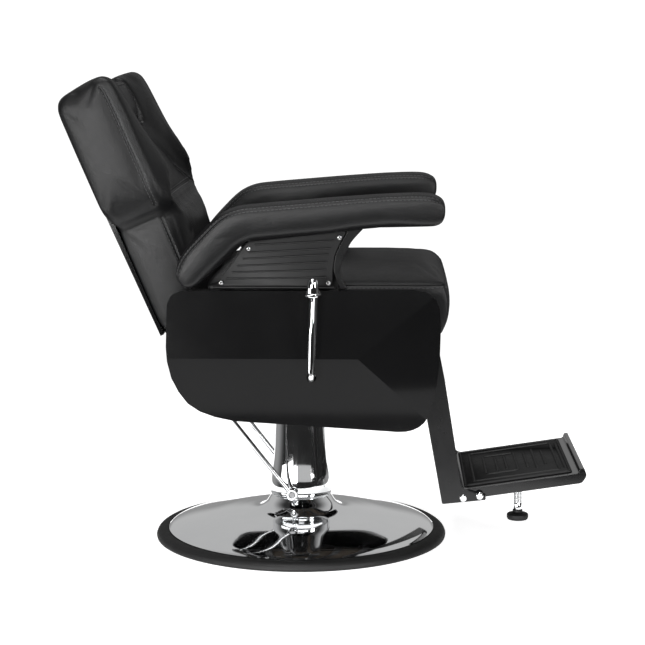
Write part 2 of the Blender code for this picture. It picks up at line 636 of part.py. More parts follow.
# ---------------------------------------------------------------- backrest
def build_back_frame():
    layer = (0.0080, 0.0140)
    inner = [back_point(0.0250, layer[0]), back_point(0.0250, layer[1]),
             back_point(0.4700, layer[1]), back_point(0.4700, layer[0])]
    frame = as_mesh(slab("back_frame", inner, -0.1900, 0.1900))
    window_low, window_high = 0.0650, 0.4350
    window = [back_point(window_low, -0.01), back_point(window_low, 0.03),
              back_point(window_high, 0.03), back_point(window_high, -0.01)]
    boolean(frame, as_mesh(slab("back_frame_window", window, -0.1450, 0.1450)), "DIFFERENCE")
    hole = (BACK_AXIS.x, BACK_AXIS.z, HINGE_SHAFT_RADIUS + GAP)
    stud_x, stud_z = crank_end(BACK_AXIS, BACK_CRANK, RECLINE_ANGLE / 2)
    ear = [back_point(0.0600, 0.0085), back_point(0.0600, 0.0135), back_point(0.0270, 0.0135),
           back_point(0.0200, 0.0200), back_point(0.0100, 0.0700), back_point(-0.0100, 0.0790),
           back_point(-0.0300, 0.0720),
           back_point(-0.0330, 0.0520), back_point(-0.0150, 0.0085)]
    crank = ear[:7] + [back_point(-0.0360, 0.0540)] + [(stud_x + 0.0085, stud_z - 0.0050),
             (stud_x, stud_z - 0.0100), (stud_x - 0.0085, stud_z - 0.0050)] + [back_point(-0.0200, 0.0085)]
    for name, side in SIDES:
        y_low, y_high = side_y(side, 0.1840, 0.1895)
        boolean(frame, as_mesh(slab("back_frame_ear_" + name, ear, y_low, y_high, [hole])), "UNION")
        y_low, y_high = side_y(side, LINK_PLANE - PLATE / 2, LINK_PLANE + PLATE / 2)
        boolean(frame, as_mesh(slab("back_frame_crank_" + name, crank, y_low, y_high, [hole])), "UNION")
        stud = rod("back_frame_stud_" + name, STUD_RADIUS, (stud_x, side * LINK_PLANE, stud_z),
                   (stud_x, side * (LINK_PLANE + 0.0150), stud_z), 20)
        boolean(frame, stud, "UNION")
    place(frame, BACK, PAINT)
    shaft = rod("back_hinge_shaft", HINGE_SHAFT_RADIUS, (BACK_AXIS.x, -0.2480, BACK_AXIS.z),
                (BACK_AXIS.x, 0.2480, BACK_AXIS.z))
    place(shaft, BACK, STEEL)


SHELL_HALF = 0.2160                # the rear cover is wider below the wings


def build_back():
    build_back_frame()
    shell_front = 0.0075
    shell = [back_point(0.0200, 0.0005), (-0.3863, 0.7062), back_point(0.5050, 0.0010),
             back_point(0.5050, shell_front), back_point(0.0200, shell_front)]
    cover = as_mesh(slab("back_shell", shell, -0.1960, 0.1960))
    apron = [back_point(0.0200, 0.0005), back_point(0.2440, -0.0052), back_point(0.2440, shell_front),
             back_point(0.0200, shell_front)]
    boolean(cover, as_mesh(slab("back_shell_apron", apron, -SHELL_HALF, SHELL_HALF)), "UNION")
    place(cover, BACK, GLOSS)
    board = [back_point(0.0300, 0.0145), back_point(0.5000, 0.0145),
             back_point(0.5000, 0.0265), back_point(0.0300, 0.0265)]
    place(slab("back_board", board, -0.1960, 0.1960), BACK, WOOD)

    lower = [back_point(0.0300, 0.0270), back_point(0.0300, 0.1150), back_point(0.0450, 0.1180),
             back_point(0.1080, 0.1160), back_point(0.1350, 0.1280), back_point(0.1700, 0.1350),
             back_point(0.2150, 0.1370), back_point(0.2450, 0.1310), back_point(0.2450, 0.0270)]
    place(bevel(slab("back_cushion", lower, -0.2240, 0.2240), 0.009, 2, 50), BACK, LEATHER)
    upper = [back_point(0.2490, 0.0335), back_point(0.2490, 0.1150), back_point(0.2750, 0.1190),
             back_point(0.3050, 0.1260), back_point(0.3400, 0.1210), back_point(0.4000, 0.1010),
             back_point(0.4275, 0.0950), back_point(0.4275, 0.0335)]
    place(bevel(slab("head_cushion", upper, -0.1280, 0.1280), 0.006, 2, 50), BACK, LEATHER)
    build_wings()


def build_wings():
    side_face = [(-0.4640, 0.9080), (-0.4625, 0.9300), (-0.3727, 0.9800), (-0.3596, 0.9715), (-0.3395, 0.9403),
                 (-0.3214, 0.8862), (-0.2957, 0.8337), (-0.2626, 0.7582), (-0.2500, 0.7240), (-0.3440, 0.6870),
                 (-0.3600, 0.6830), (-0.3840, 0.7080)]
    inner_face = [back_point(0.2550, 0.0335), back_point(0.2530, 0.1060), back_point(0.2620, 0.1190),
                  back_point(0.4300, 0.1180), back_point(0.5200, 0.0980), back_point(0.5200, 0.0335)]
    crest = [back_point(0.2600, 0.0400), back_point(0.2600, 0.1300), back_point(0.2900, 0.1410),
             back_point(0.3200, 0.1485), back_point(0.3600, 0.1430), back_point(0.4170, 0.1320),
             back_point(0.4600, 0.1270), back_point(0.5130, 0.1170), back_point(0.5130, 0.0400)]
    for name, side in SIDES:
        y_low, y_high = side_y(side, 0.1985, 0.2500)
        wing = as_mesh(slab("wing_" + name, side_face, y_low, y_high))
        y_low, y_high = side_y(side, 0.1300, 0.2100)
        boolean(wing, as_mesh(slab("wing_inner_" + name, inner_face, y_low, y_high)), "UNION")
        y_low, y_high = side_y(side, 0.1750, 0.2350)
        roll = bevel(slab("wing_crest_" + name, crest, y_low, y_high), 0.012, 2, 50)
        boolean(wing, as_mesh(roll), "UNION")
        place(wing, BACK, LEATHER)


def build_headrest():
    pad = [back_point(0.4320, 0.0345), back_point(0.4320, 0.0960), back_point(0.4420, 0.1060),
           back_point(0.4800, 0.1075), back_point(0.5150, 0.1040), back_point(0.5270, 0.0950),
           back_point(0.5270, 0.0345)]
    place(bevel(slab("headrest_pad", pad, -0.1230, 0.1230), 0.010, 2, 50), HEADREST, LEATHER)
    bar = [back_point(0.2700, 0.0285), back_point(0.2700, 0.0325), back_point(0.5100, 0.0325),
           back_point(0.5100, 0.0285)]
    place(slab("headrest_bar", bar, -0.0200, 0.0200), HEADREST, STEEL)


# ---------------------------------------------------------------- footrest
def build_footrest():
    left_top = (FOOT_AXIS.x - 0.0235, FOOT_AXIS.z - 0.0060)
    arm = ([(0.2960, 0.1109), (0.3490, 0.1165), (0.3850, 0.1204), (0.3850, 0.1300), (0.3400, 0.1415),
            (0.3345, 0.1530), (0.3235, 0.2209), (0.2995, 0.3679)]
           + arc((FOOT_AXIS.x, FOOT_AXIS.z), 0.0235, 10, 170, 9) + [left_top, (0.2632, 0.2893)])
    for name, side in SIDES:
        y_low, y_high = side_y(side, ARM_OUTER - ARM_THICKNESS, ARM_OUTER)
        hole = (FOOT_AXIS.x, FOOT_AXIS.z, FOOT_SHAFT_RADIUS + GAP)
        place(slab("footrest_arm_" + name, arm, y_low, y_high, [hole]), FOOTREST, PAINT)
        for index, (x, z) in enumerate(((0.3387, 0.1256), (0.3723, 0.1303))):
            head = [(0.0, 0.0045), (0.0045, 0.0040), (0.0075, 0.0015), (0.0080, GAP), (0.0, GAP)]
            screw = turned("footrest_screw_%s_%d" % (name, index + 1), head, 20,
                           location=(x, side * ARM_OUTER, z - 0.0010), rotation=(math.radians(-90 * side), 0, 0))
            place(screw, FOOTREST, CHROME)

    shaft = rod("footrest_shaft", FOOT_SHAFT_RADIUS, (FOOT_AXIS.x, -0.1930, FOOT_AXIS.z),
                (FOOT_AXIS.x, 0.1930, FOOT_AXIS.z))
    stud_x, stud_z = crank_end(FOOT_AXIS, FOOT_CRANK, RECLINE_ANGLE * FOOT_RATIO / 2)
    crank = (arc((stud_x, stud_z), 0.0090, 170, 350, 9)
             + arc((FOOT_AXIS.x, FOOT_AXIS.z), 0.0150, -15, 165, 9))
    plate = slab("footrest_shaft_crank", crank, LINK_PLANE - PLATE / 2, LINK_PLANE + PLATE / 2)
    boolean(shaft, as_mesh(plate), "UNION")
    stud = rod("footrest_shaft_stud", STUD_RADIUS, (stud_x, LINK_PLANE, stud_z),
               (stud_x, LINK_PLANE + 0.0150, stud_z), 20)
    place(boolean(shaft, stud, "UNION"), FOOTREST, PAINT)

    tray = [(0.3300, 0.1225), (0.3856, 0.1250), (0.5812, 0.1545), (0.5915, 0.1700), (0.5850, 0.1870),
            (0.5770, 0.1850), (0.5740, 0.1755), (0.3300, 0.1386)]
    tray = as_mesh(slab("footrest_tray", tray, -TRAY_HALF_WIDTH, TRAY_HALF_WIDTH))
    hole = rod("footrest_tray_hole", STEM_RADIUS + 2 * GAP, (FOOT_STOP_X, 0, 0.10), (FOOT_STOP_X, 0, 0.20))
    place(boolean(tray, hole, "DIFFERENCE"), FOOTREST, GLOSS)

    rise = math.tan(TRAY_TILT)
    mat_top = 0.0040
    mat = []
    for x, up in ((0.3420, GAP), (0.5650, GAP), (0.5650, mat_top), (0.3420, mat_top)):
        mat.append((x, 0.1386 + (x - 0.3300) * rise + up))
    place(slab("footrest_mat", mat, -0.1600, 0.1600), FOOTREST, RUBBER)


def build_link():
    """Flat bar from the back's left crank to the footrest's crank."""
    near = crank_end(BACK_AXIS, BACK_CRANK, RECLINE_ANGLE / 2)
    far = crank_end(FOOT_AXIS, FOOT_CRANK, RECLINE_ANGLE * FOOT_RATIO / 2)
    slope = math.degrees(math.atan2(far[1] - near[1], far[0] - near[0]))
    outline = arc(near, 0.0100, 90 + slope, 270 + slope, 9) + arc(far, 0.0100, -90 + slope, 90 + slope, 9)
    holes = [(*near, STUD_RADIUS + 0.0015), (*far, STUD_RADIUS + GAP)]
    y_low = LINK_PLANE + PLATE / 2 + 0.003
    place(slab("link_bar", outline, y_low, y_low + 0.005, holes), LINK, PAINT)


def build_foot_stop():
    stem = rod("foot_stop_stem", STEM_RADIUS, (FOOT_STOP_X, 0, 0.0560), (FOOT_STOP_X, 0, 0.1490))
    place(stem, STOP, CHROME)
    pad = [(0.0, 0.0557), (0.0090, 0.0557), (0.0105, 0.0540), (0.0105, 0.0500), (0.0160, 0.0480),
           (0.0225, 0.0460), (0.0230, 0.0400), (0.0215, 0.0340), (0.0, 0.0340)]
    place(turned("foot_stop_pad", pad, 36, location=(FOOT_STOP_X, 0, 0)), STOP, RUBBER)


build_base()
build_pump_lever()
build_lift()
build_seat()
for side_name, side_sign in SIDES:
    build_side_panel(side_name, side_sign)
    build_armrest(side_name, side_sign)
build_strut()
build_recline_lever()
build_back()
build_headrest()
build_footrest()
build_link()
build_foot_stop()
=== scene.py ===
"""Looks of the reclining hydraulic barber chair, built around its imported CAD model.

Metres. +X is the front of the chair, +Y its left, z = 0 the floor, and the column stands on the Z axis.
Soft pieces are lofted, remeshed, puffed by a cloth pressure simulation and then get their seams and stitches.
"""
import math

import bmesh
import bpy
from mathutils import Matrix, Vector
from mathutils.bvhtree import BVHTree
from mathutils.kdtree import KDTree


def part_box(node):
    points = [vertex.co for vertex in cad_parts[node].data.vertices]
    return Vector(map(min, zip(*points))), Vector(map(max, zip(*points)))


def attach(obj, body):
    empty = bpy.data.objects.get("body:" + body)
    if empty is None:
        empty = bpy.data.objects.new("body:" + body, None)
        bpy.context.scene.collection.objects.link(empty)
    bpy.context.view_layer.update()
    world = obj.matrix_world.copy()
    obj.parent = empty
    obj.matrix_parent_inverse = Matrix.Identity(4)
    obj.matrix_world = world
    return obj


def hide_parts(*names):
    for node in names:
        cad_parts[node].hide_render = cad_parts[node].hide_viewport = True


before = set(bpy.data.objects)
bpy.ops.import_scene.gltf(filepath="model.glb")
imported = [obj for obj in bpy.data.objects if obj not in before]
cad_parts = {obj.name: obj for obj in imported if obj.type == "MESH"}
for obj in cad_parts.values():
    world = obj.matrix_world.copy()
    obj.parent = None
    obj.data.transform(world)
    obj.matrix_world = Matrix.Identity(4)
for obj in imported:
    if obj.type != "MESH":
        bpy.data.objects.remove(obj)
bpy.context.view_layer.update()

SIDES = (("right", -1), ("left", 1))
RIGHT = Vector((0.0, 1.0, 0.0))                 # a sweep's reference across the chair
ACROSS = Matrix.Rotation(math.radians(90), 4, "X")   # turns a piece made about Z on to the chair's Y
SIM_FRAMES = 20
PRESSURE = 4.0

# The CAD's own datums: hinge axes and the line behind the backrest.
BACK_START = Vector((-0.2664, 0.0, 0.4427))
BACK_LEAN = math.radians(23.2)
BACK_UP = Vector((-math.sin(BACK_LEAN), 0.0, math.cos(BACK_LEAN)))
BACK_FORWARD = Vector((math.cos(BACK_LEAN), 0.0, math.sin(BACK_LEAN)))
FOOT_AXIS = Vector((0.2620, 0.0, 0.4350))
PUMP_AXIS = Vector((-0.0165, 0.0, 0.1020))
PUMP_ANGLE = math.radians(52.0)
PUMP_LENGTH = 0.300
PUMP_HALF_WIDTH = 0.0755
RECLINE_AXIS = Vector((0.0332, -0.3350, 0.3945))

# Local axes of the backrest: x forward of its rear line, y across, z up it.
BACK_FRAME = Matrix(((BACK_FORWARD.x, 0.0, BACK_UP.x, BACK_START.x),
                     (0.0, 1.0, 0.0, 0.0),
                     (BACK_FORWARD.z, 0.0, BACK_UP.z, BACK_START.z),
                     (0.0, 0.0, 0.0, 1.0)))


# ---------------------------------------------------------------- materials
def add_node(tree, kind, settings=None, **inputs):
    """A shader node; settings are its own properties and inputs are named by their sockets."""
    node = tree.nodes.new(kind)
    for key, value in (settings or {}).items():
        setattr(node, key, value)
    for key, value in inputs.items():
        node.inputs[key.replace("_", " ")].default_value = value
    return node


def ranged(tree, source, low, high):
    """Remap a 0..1 signal to low..high."""
    node = add_node(tree, "ShaderNodeMapRange", To_Min=low, To_Max=high)
    tree.links.new(source, node.inputs["Value"])
    return node.outputs["Result"]


def noise_signal(tree, coords, scale, detail=2.0, stretch=None):
    """Noise over object coordinates, optionally stretched along the axes."""
    node = add_node(tree, "ShaderNodeTexNoise", Scale=scale, Detail=detail)
    if stretch:
        mapping = add_node(tree, "ShaderNodeMapping", Scale=stretch)
        tree.links.new(coords, mapping.inputs["Vector"])
        coords = mapping.outputs["Vector"]
    tree.links.new(coords, node.inputs["Vector"])
    return node.outputs["Fac"]


def bump(tree, height, distance, strength, before=None):
    """A bump from a height signal, over another one if given."""
    node = add_node(tree, "ShaderNodeBump", Distance=distance, Strength=strength)
    tree.links.new(height, node.inputs["Height"])
    if before:
        tree.links.new(before, node.inputs["Normal"])
    return node.outputs["Normal"]


def two_tone(tree, signal, dark, light):
    """A colour that follows a 0..1 signal from dark to light."""
    mix = add_node(tree, "ShaderNodeMix", {"data_type": "RGBA"})
    mix.inputs["A"].default_value = (*dark, 1.0)
    mix.inputs["B"].default_value = (*light, 1.0)
    tree.links.new(signal, mix.inputs["Factor"])
    return [item for item in mix.outputs if item.type == "RGBA"][0]


def surface(name, dark, light, rough, metallic=0.0, patch=18.0):
    """A principled material whose colour and roughness drift between two values over the surface."""
    material = bpy.data.materials.new(name)
    material.use_nodes = True
    tree = material.node_tree
    shader = tree.nodes["Principled BSDF"]
    shader.inputs["Metallic"].default_value = metallic
    coords = add_node(tree, "ShaderNodeTexCoord").outputs["Object"]
    drift = noise_signal(tree, coords, patch, 4.0)
    tree.links.new(two_tone(tree, drift, dark, light), shader.inputs["Base Color"])
    smudge = noise_signal(tree, coords, patch * 2.3, 5.0)
    tree.links.new(ranged(tree, smudge, *rough), shader.inputs["Roughness"])
    return material, tree, shader, coords


def graze(tree, shader, level):
    """A grained skin shades its own sheen away at glancing angles."""
    weight = add_node(tree, "ShaderNodeLayerWeight", Blend=0.5)
    facing = add_node(tree, "ShaderNodeMath", {"operation": "SUBTRACT"})
    facing.inputs[0].default_value = 1.0
    tree.links.new(weight.outputs["Facing"], facing.inputs[1])
    power = add_node(tree, "ShaderNodeMath", {"operation": "POWER"})
    power.inputs[1].default_value = 1.6
    tree.links.new(facing.outputs["Value"], power.inputs[0])
    scale = add_node(tree, "ShaderNodeMath", {"operation": "MULTIPLY"})
    scale.inputs[1].default_value = level
    tree.links.new(power.outputs["Value"], scale.inputs[0])
    tree.links.new(scale.outputs["Value"], shader.inputs["Specular IOR Level"])


def grained(name, dark, light, rough, layers, patch, metallic=0.0, sheen=None):
    """A material with layers of noise bumps, each as (scale, detail, distance, strength)."""
    material, tree, shader, coords = surface(name, dark, light, rough, metallic, patch)
    if sheen:
        graze(tree, shader, sheen)
    below = None
    for scale, detail, distance, strength in layers:
        below = bump(tree, noise_signal(tree, coords, scale, detail), distance, strength, below)
    if below:
        tree.links.new(below, shader.inputs["Normal"])
    return material, tree, shader, coords


def leatherette():
    """Black coated fabric: pebbled grain of about 1.3 mm over slow creases."""
    layers = ((42.0, 3.0, 0.0016, 0.35), (2600.0, 2.0, 0.00010, 0.4))
    dark, light = (0.0085, 0.0085, 0.0090), (0.0125, 0.0125, 0.0130)
    material, tree, shader, coords = grained("leatherette_grain", dark, light, (0.31, 0.42), layers, 9.0,
                                             sheen=0.50)
    cells = add_node(tree, "ShaderNodeTexVoronoi", {"feature": "DISTANCE_TO_EDGE"}, Scale=780.0)
    tree.links.new(coords, cells.inputs["Vector"])
    pebble = ranged(tree, cells.outputs["Distance"], 0.0, 2.2)
    fine = shader.inputs["Normal"].links[0].from_socket
    tree.links.new(bump(tree, pebble, 0.00022, 0.45, fine), shader.inputs["Normal"])
    return material


def thread():
    """Waxed black thread with its twist."""
    material, tree, shader, coords = surface("stitch_thread", (0.070, 0.070, 0.072), (0.130, 0.130, 0.132),
                                             (0.45, 0.6), patch=300.0)
    twist = add_node(tree, "ShaderNodeTexWave", {"bands_direction": "DIAGONAL"}, Scale=900.0)
    tree.links.new(coords, twist.inputs["Vector"])
    tree.links.new(bump(tree, twist.outputs["Fac"], 0.0002, 0.6), shader.inputs["Normal"])
    return material


def matte_plastic():
    """Satin moulded plastic with a fine spark-eroded grain."""
    dark, light = (0.0100, 0.0100, 0.0104), (0.0150, 0.0150, 0.0154)
    material, tree, shader, coords = surface("satin_moulding", dark, light, (0.46, 0.58), patch=25.0)
    graze(tree, shader, 0.60)
    grain = add_node(tree, "ShaderNodeTexVoronoi", Scale=1500.0)
    tree.links.new(coords, grain.inputs["Vector"])
    tree.links.new(bump(tree, grain.outputs["Distance"], 0.00010, 0.35), shader.inputs["Normal"])
    return material


def steel():
    """Turned steel with fine tool marks round the axis."""
    dark, light = (0.34, 0.34, 0.35), (0.52, 0.52, 0.53)
    material, tree, shader, coords = surface("turned_steel", dark, light, (0.24, 0.40), 1.0, patch=35.0)
    marks = noise_signal(tree, coords, 60.0, 2.0, (1.0, 1.0, 45.0))
    tree.links.new(bump(tree, marks, 0.00012, 0.5), shader.inputs["Normal"])
    return material


def plywood():
    """Birch plywood in a very dark tone, with long grain along the sheet."""
    dark, light = (0.030, 0.021, 0.014), (0.060, 0.045, 0.030)
    material, tree, shader, coords = surface("birch_ply", dark, light, (0.55, 0.75), patch=16.0)
    grain = noise_signal(tree, coords, 14.0, 6.0, (1.0, 14.0, 14.0))
    tree.links.new(two_tone(tree, grain, dark, light), shader.inputs["Base Color"])
    tree.links.new(bump(tree, grain, 0.0003, 0.4), shader.inputs["Normal"])
    return material


LEATHER = leatherette()
THREAD = thread()
# Glossy moulding with slight flow waves and a trace of orange peel.
GLOSS = grained("gloss_moulding", (0.0055, 0.0055, 0.0058), (0.0085, 0.0085, 0.0088), (0.09, 0.14),
                ((14.0, 2.0, 0.0010, 0.10), (420.0, 1.0, 0.00004, 0.25)), 7.0)[0]
SATIN = matte_plastic()
# Moulded rubber with a dusty bloom.
RUBBER = grained("moulded_rubber", (0.0060, 0.0060, 0.0061), (0.0130, 0.0130, 0.0131), (0.40, 0.56),
                 ((1300.0, 3.0, 0.00016, 0.5),), 30.0, sheen=0.50)[0]
# Polished plating: a trace of haze and long, shallow waves.
CHROME = grained("polished_plating", (0.80, 0.81, 0.82), (0.90, 0.905, 0.91), (0.025, 0.085),
                 ((11.0, 2.0, 0.0006, 0.05),), 12.0, metallic=1.0)[0]
STEEL = steel()
# Powder coat with its orange-peel skin.
PAINT = grained("powder_coat", (0.0070, 0.0070, 0.0074), (0.0115, 0.0115, 0.0119), (0.24, 0.34),
                ((520.0, 2.0, 0.00018, 0.35),), 22.0)[0]
WOOD = plywood()
FINISH = {"leatherette": LEATHER, "gloss_plastic": GLOSS, "matte_plastic": SATIN, "rubber": RUBBER,
          "chrome": CHROME, "steel": STEEL, "black_paint": PAINT, "plywood": WOOD}


# ---------------------------------------------------------------- curves and meshes
def catmull(points, per=6):
    """A smooth curve through points, with per steps between each two."""
    points = [Vector(point) for point in points]
    last = len(points) - 1
    curve = []
    for i in range(last):
        p0, p1, p2, p3 = points[max(i - 1, 0)], points[i], points[i + 1], points[min(i + 2, last)]
        for k in range(per):
            t = k / per
            curve.append(0.5 * (2 * p1 + (p2 - p0) * t + (2 * p0 - 5 * p1 + 4 * p2 - p3) * t * t
                                + (3 * p1 - p0 - 3 * p2 + p3) * t ** 3))
    curve.append(points[-1])
    return curve


def fillet(points, radius, closed=True, steps=4):
    """Round the corners of a polyline. radius is one value or one for each point."""
    points = [Vector(point) for point in points]
    count = len(points)
    curve = []
    for i, here in enumerate(points):
        size = radius[i] if isinstance(radius, (list, tuple)) else radius
        if size <= 0 or (not closed and i in (0, count - 1)):
            curve.append(here)
            continue
        back = points[i - 1] - here
        ahead = points[(i + 1) % count] - here
        angle = back.angle(ahead)
        if angle > math.radians(176):
            curve.append(here)
            continue
        cut = min(size / math.tan(angle / 2), 0.48 * back.length, 0.48 * ahead.length)
        start = here + back.normalized() * cut
        end = here + ahead.normalized() * cut
        for k in range(steps + 1):
            t = k / steps
            curve.append(start * (1 - t) ** 2 + here * 2 * t * (1 - t) + end * t * t)
    return curve


def resample(points, step):
    """Points spaced evenly along a polyline."""
    points = [Vector(point) for point in points]
    total = sum((b - a).length for a, b in zip(points, points[1:]))
    count = max(2, int(round(total / step)) + 1)
    spacing = total / (count - 1)
    even = [points[0].copy()]
    walked, target = 0.0, spacing
    for a, b in zip(points, points[1:]):
        length = (b - a).length
        while length > 0 and walked + length >= target - 1e-9 and len(even) < count:
            even.append(a + (b - a) * ((target - walked) / length))
            target += spacing
        walked += length
    while len(even) < count:
        even.append(points[-1].copy())
    return even


def piece(name, verts, faces, material, sharp=35.0, matrix=None):
    """A mesh object with outward normals and smooth shading between its sharp edges."""
    mesh = bpy.data.meshes.new(name)
    mesh.from_pydata([tuple(v) for v in verts], [], faces)
    shape = bmesh.new()
    shape.from_mesh(mesh)
    bmesh.ops.remove_doubles(shape, verts=shape.verts, dist=1e-6)
    bmesh.ops.dissolve_degenerate(shape, edges=shape.edges, dist=1e-6)
    bmesh.ops.recalc_face_normals(shape, faces=shape.faces)
    if matrix:
        bmesh.ops.transform(shape, matrix=matrix, verts=shape.verts)
    shape.to_mesh(mesh)
    shape.free()
    mesh.shade_smooth()
    mesh.set_sharp_from_angle(angle=math.radians(sharp))
    mesh.materials.append(material)
    obj = bpy.data.objects.new(name, mesh)
    bpy.context.scene.collection.objects.link(obj)
    return obj


def bake(obj):
    """Apply an object's modifiers to its mesh."""
    bpy.context.view_layer.update()
    graph = bpy.context.evaluated_depsgraph_get()
    mesh = bpy.data.meshes.new_from_object(obj.evaluated_get(graph))
    obj.modifiers.clear()
    obj.data = mesh
    return obj


def join(name, parts):
    """One object from several that share a material."""
    shape = bmesh.new()
    for part in parts:
        shape.from_mesh(part.data)
    mesh = bpy.data.meshes.new(name)
    shape.to_mesh(mesh)
    shape.free()
    mesh.materials.append(parts[0].data.materials[0])
    mesh.shade_smooth()
    mesh.set_sharp_from_angle(angle=math.radians(35))
    for part in parts:
        bpy.data.objects.remove(part, do_unlink=True)
    obj = bpy.data.objects.new(name, mesh)
    bpy.context.scene.collection.objects.link(obj)
    return obj


def turned(name, profile, material, steps=128, matrix=None, closed=False):
    """A turned piece about local Z from a profile of (radius, height)."""
    verts, rows = [], []
    for radius, height in profile:
        if radius < 1e-7:
            rows.append([len(verts)] * steps)
            verts.append((0.0, 0.0, height))
            continue
        rows.append(list(range(len(verts), len(verts) + steps)))
        for k in range(steps):
            angle = 2 * math.pi * k / steps
            verts.append((radius * math.cos(angle), radius * math.sin(angle), height))
    pairs = list(zip(rows, rows[1:]))
    if closed:
        pairs.append((rows[-1], rows[0]))
    faces = []
    for low, high in pairs:
        for k in range(steps):
            corner = (low[k], low[(k + 1) % steps], high[(k + 1) % steps], high[k])
            face = list(dict.fromkeys(corner))
            if len(face) > 2:
                faces.append(face)
    return piece(name, verts, faces, material, 38.0, matrix)


def rounded(outline, radius, steps=4):
    """A closed flat outline with its corners rounded."""
    return [(p.x, p.y) for p in fillet(outline, radius, True, steps)]


def prism(outline, low, high):
    """Vertices and faces of an outline of (a, b) drawn out from low to high: (a, low or high, b)."""
    count = len(outline)
    verts = [(p[0], y, p[1]) for y in (low, high) for p in outline]
    faces = [list(range(count)), list(range(2 * count - 1, count - 1, -1))]
    faces += [[k, (k + 1) % count, (k + 1) % count + count, k + count] for k in range(count)]
    return verts, faces


def slab(name, outline, y_low, y_high, material, edge=0.0015, segments=3):
    """A plate with rounded edges, cut to an outline of (x, z) between two y planes."""
    obj = piece(name, *prism(outline, y_low, y_high), material)
    if edge > 0:
        round_edges(obj, edge, segments)
    return obj


def carve(obj, cutter):
    """Cut one solid out of an object."""
    cut = obj.modifiers.new("Cut", "BOOLEAN")
    cut.operation = "DIFFERENCE"
    cut.solver = "EXACT"
    cut.object = cutter
    bake(obj)
    bpy.data.objects.remove(cutter, do_unlink=True)


def drill(radius, reach, centre):
    """A cutter across the chair through a point."""
    rod = [(0.0, -reach), (radius, -reach), (radius, reach), (0.0, reach)]
    return turned("drill", rod, STEEL, 48, Matrix.Translation(centre) @ ACROSS)


def round_edges(obj, width, segments=3, angle=32.0):
    """Bevel every edge sharper than an angle in degrees."""
    modifier = obj.modifiers.new("Round", "BEVEL")
    modifier.width = width
    modifier.segments = segments
    modifier.limit_method = "ANGLE"
    modifier.angle_limit = math.radians(angle)
    modifier.harden_normals = True
    return bake(obj)


def circle(radius, count=16, flat=1.0):
    """Section points (across, along the reference) of a round or flattened bar."""
    return [(radius * math.cos(2 * math.pi * k / count), flat * radius * math.sin(2 * math.pi * k / count))
            for k in range(count)]


def sweep(name, path, section, material, reference=None, domed=True, sharp=40.0):
    """A bar of one section along a path, with domed or flat ends.

    Without a reference direction its frame is carried along."""
    path = [Vector(point) for point in path]
    size = max(abs(a) for a, b in section)
    frame_up = reference or Vector((0.0, 0.0, 1.0))
    last = len(path) - 1
    stations = []
    for i, here in enumerate(path):
        tangent = (path[min(i + 1, last)] - path[max(i - 1, 0)]).normalized()
        if abs(tangent.dot(frame_up)) > 0.98:
            frame_up = tangent.orthogonal()
        across = frame_up.cross(tangent).normalized()
        upward = tangent.cross(across).normalized()
        if not reference:
            frame_up = upward
        stations.append((here, tangent, across, upward, 1.0))
    if domed:
        first, end = stations[0], stations[-1]
        caps = [(math.sin(a) * size, math.cos(a)) for a in (math.radians(d) for d in (30, 60, 82))]
        stations = ([(first[0] - first[1] * out, *first[1:4], scale) for out, scale in reversed(caps)] + stations
                    + [(end[0] + end[1] * out, *end[1:4], scale) for out, scale in caps])
    rings = [[here + across * a * scale + upward * b * scale for a, b in section]
             for here, tangent, across, upward, scale in stations]
    return loft(name, rings, material, sharp)


def loft(name, rings, material, sharp=80.0):
    """A closed skin over rings that all have the same number of points."""
    count = len(rings[0])
    verts = [point for ring in rings for point in ring]
    faces = []
    for i in range(len(rings) - 1):
        for k in range(count):
            n = (k + 1) % count
            faces.append([i * count + k, i * count + n, (i + 1) * count + n, (i + 1) * count + k])
    faces.append(list(range(count)))
    faces.append(list(range(len(verts) - count, len(verts))))
    return piece(name, verts, faces, material, sharp)


def dress(obj, body, slot, *nodes):
    """Hang a piece on its body and let it stand for CAD nodes. slot is not used."""
    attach(obj, body)
    if nodes:
        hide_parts(*nodes)
    return obj


# ---------------------------------------------------------------- soft pieces
SOFT = []


def path_tree(points):
    """A nearest-point tree over points."""
    tree = KDTree(len(points))
    for index, point in enumerate(points):
        tree.insert(point, index)
    tree.balance()
    return tree


def smooth(mesh, rounds, factor=0.5):
    """Relax a mesh."""
    shape = bmesh.new()
    shape.from_mesh(mesh)
    for _ in range(rounds):
        bmesh.ops.smooth_vert(shape, verts=shape.verts, factor=factor, use_axis_x=True, use_axis_y=True,
                              use_axis_z=True)
    shape.to_mesh(mesh)
    shape.free()


def soften(obj, voxel, rounds=3):
    """Even, smooth quads over a soft piece."""
    modifier = obj.modifiers.new("Even", "REMESH")
    modifier.mode = "VOXEL"
    modifier.voxel_size = voxel
    bake(obj)
    smooth(obj.data, rounds)
    return obj


def puff(obj, guides, cap, shrink, hold, reach=0.012, fill=0.006):
    """Queue a soft piece for the cloth simulation.

    guides are seam lines that stay put and hold(point) says where the fabric is tacked down. cap is how far a
    point may move. The loose fabric starts shrink inside its final place, and the padding lets it out by fill
    again once it has settled."""
    mesh = obj.data
    seams = path_tree([point for guide in guides for point in resample(guide, 0.003)]) if guides else None
    group = obj.vertex_groups.new(name="tacked")
    start, swell = [], []
    for vertex in mesh.vertices:
        free = 1.0
        if seams:
            distance = seams.find(vertex.co)[2]
            free = min(1.0, distance / reach)
        if hold(vertex.co):
            free = 0.0
        free = free * free * (3 - 2 * free)
        group.add([vertex.index], 1.0 - free, "REPLACE")
        start.append(vertex.co - vertex.normal * shrink * free)
        swell.append(fill * free)
    for vertex, place in zip(mesh.vertices, start):
        vertex.co = place
    SOFT.append((obj, start, swell, cap))


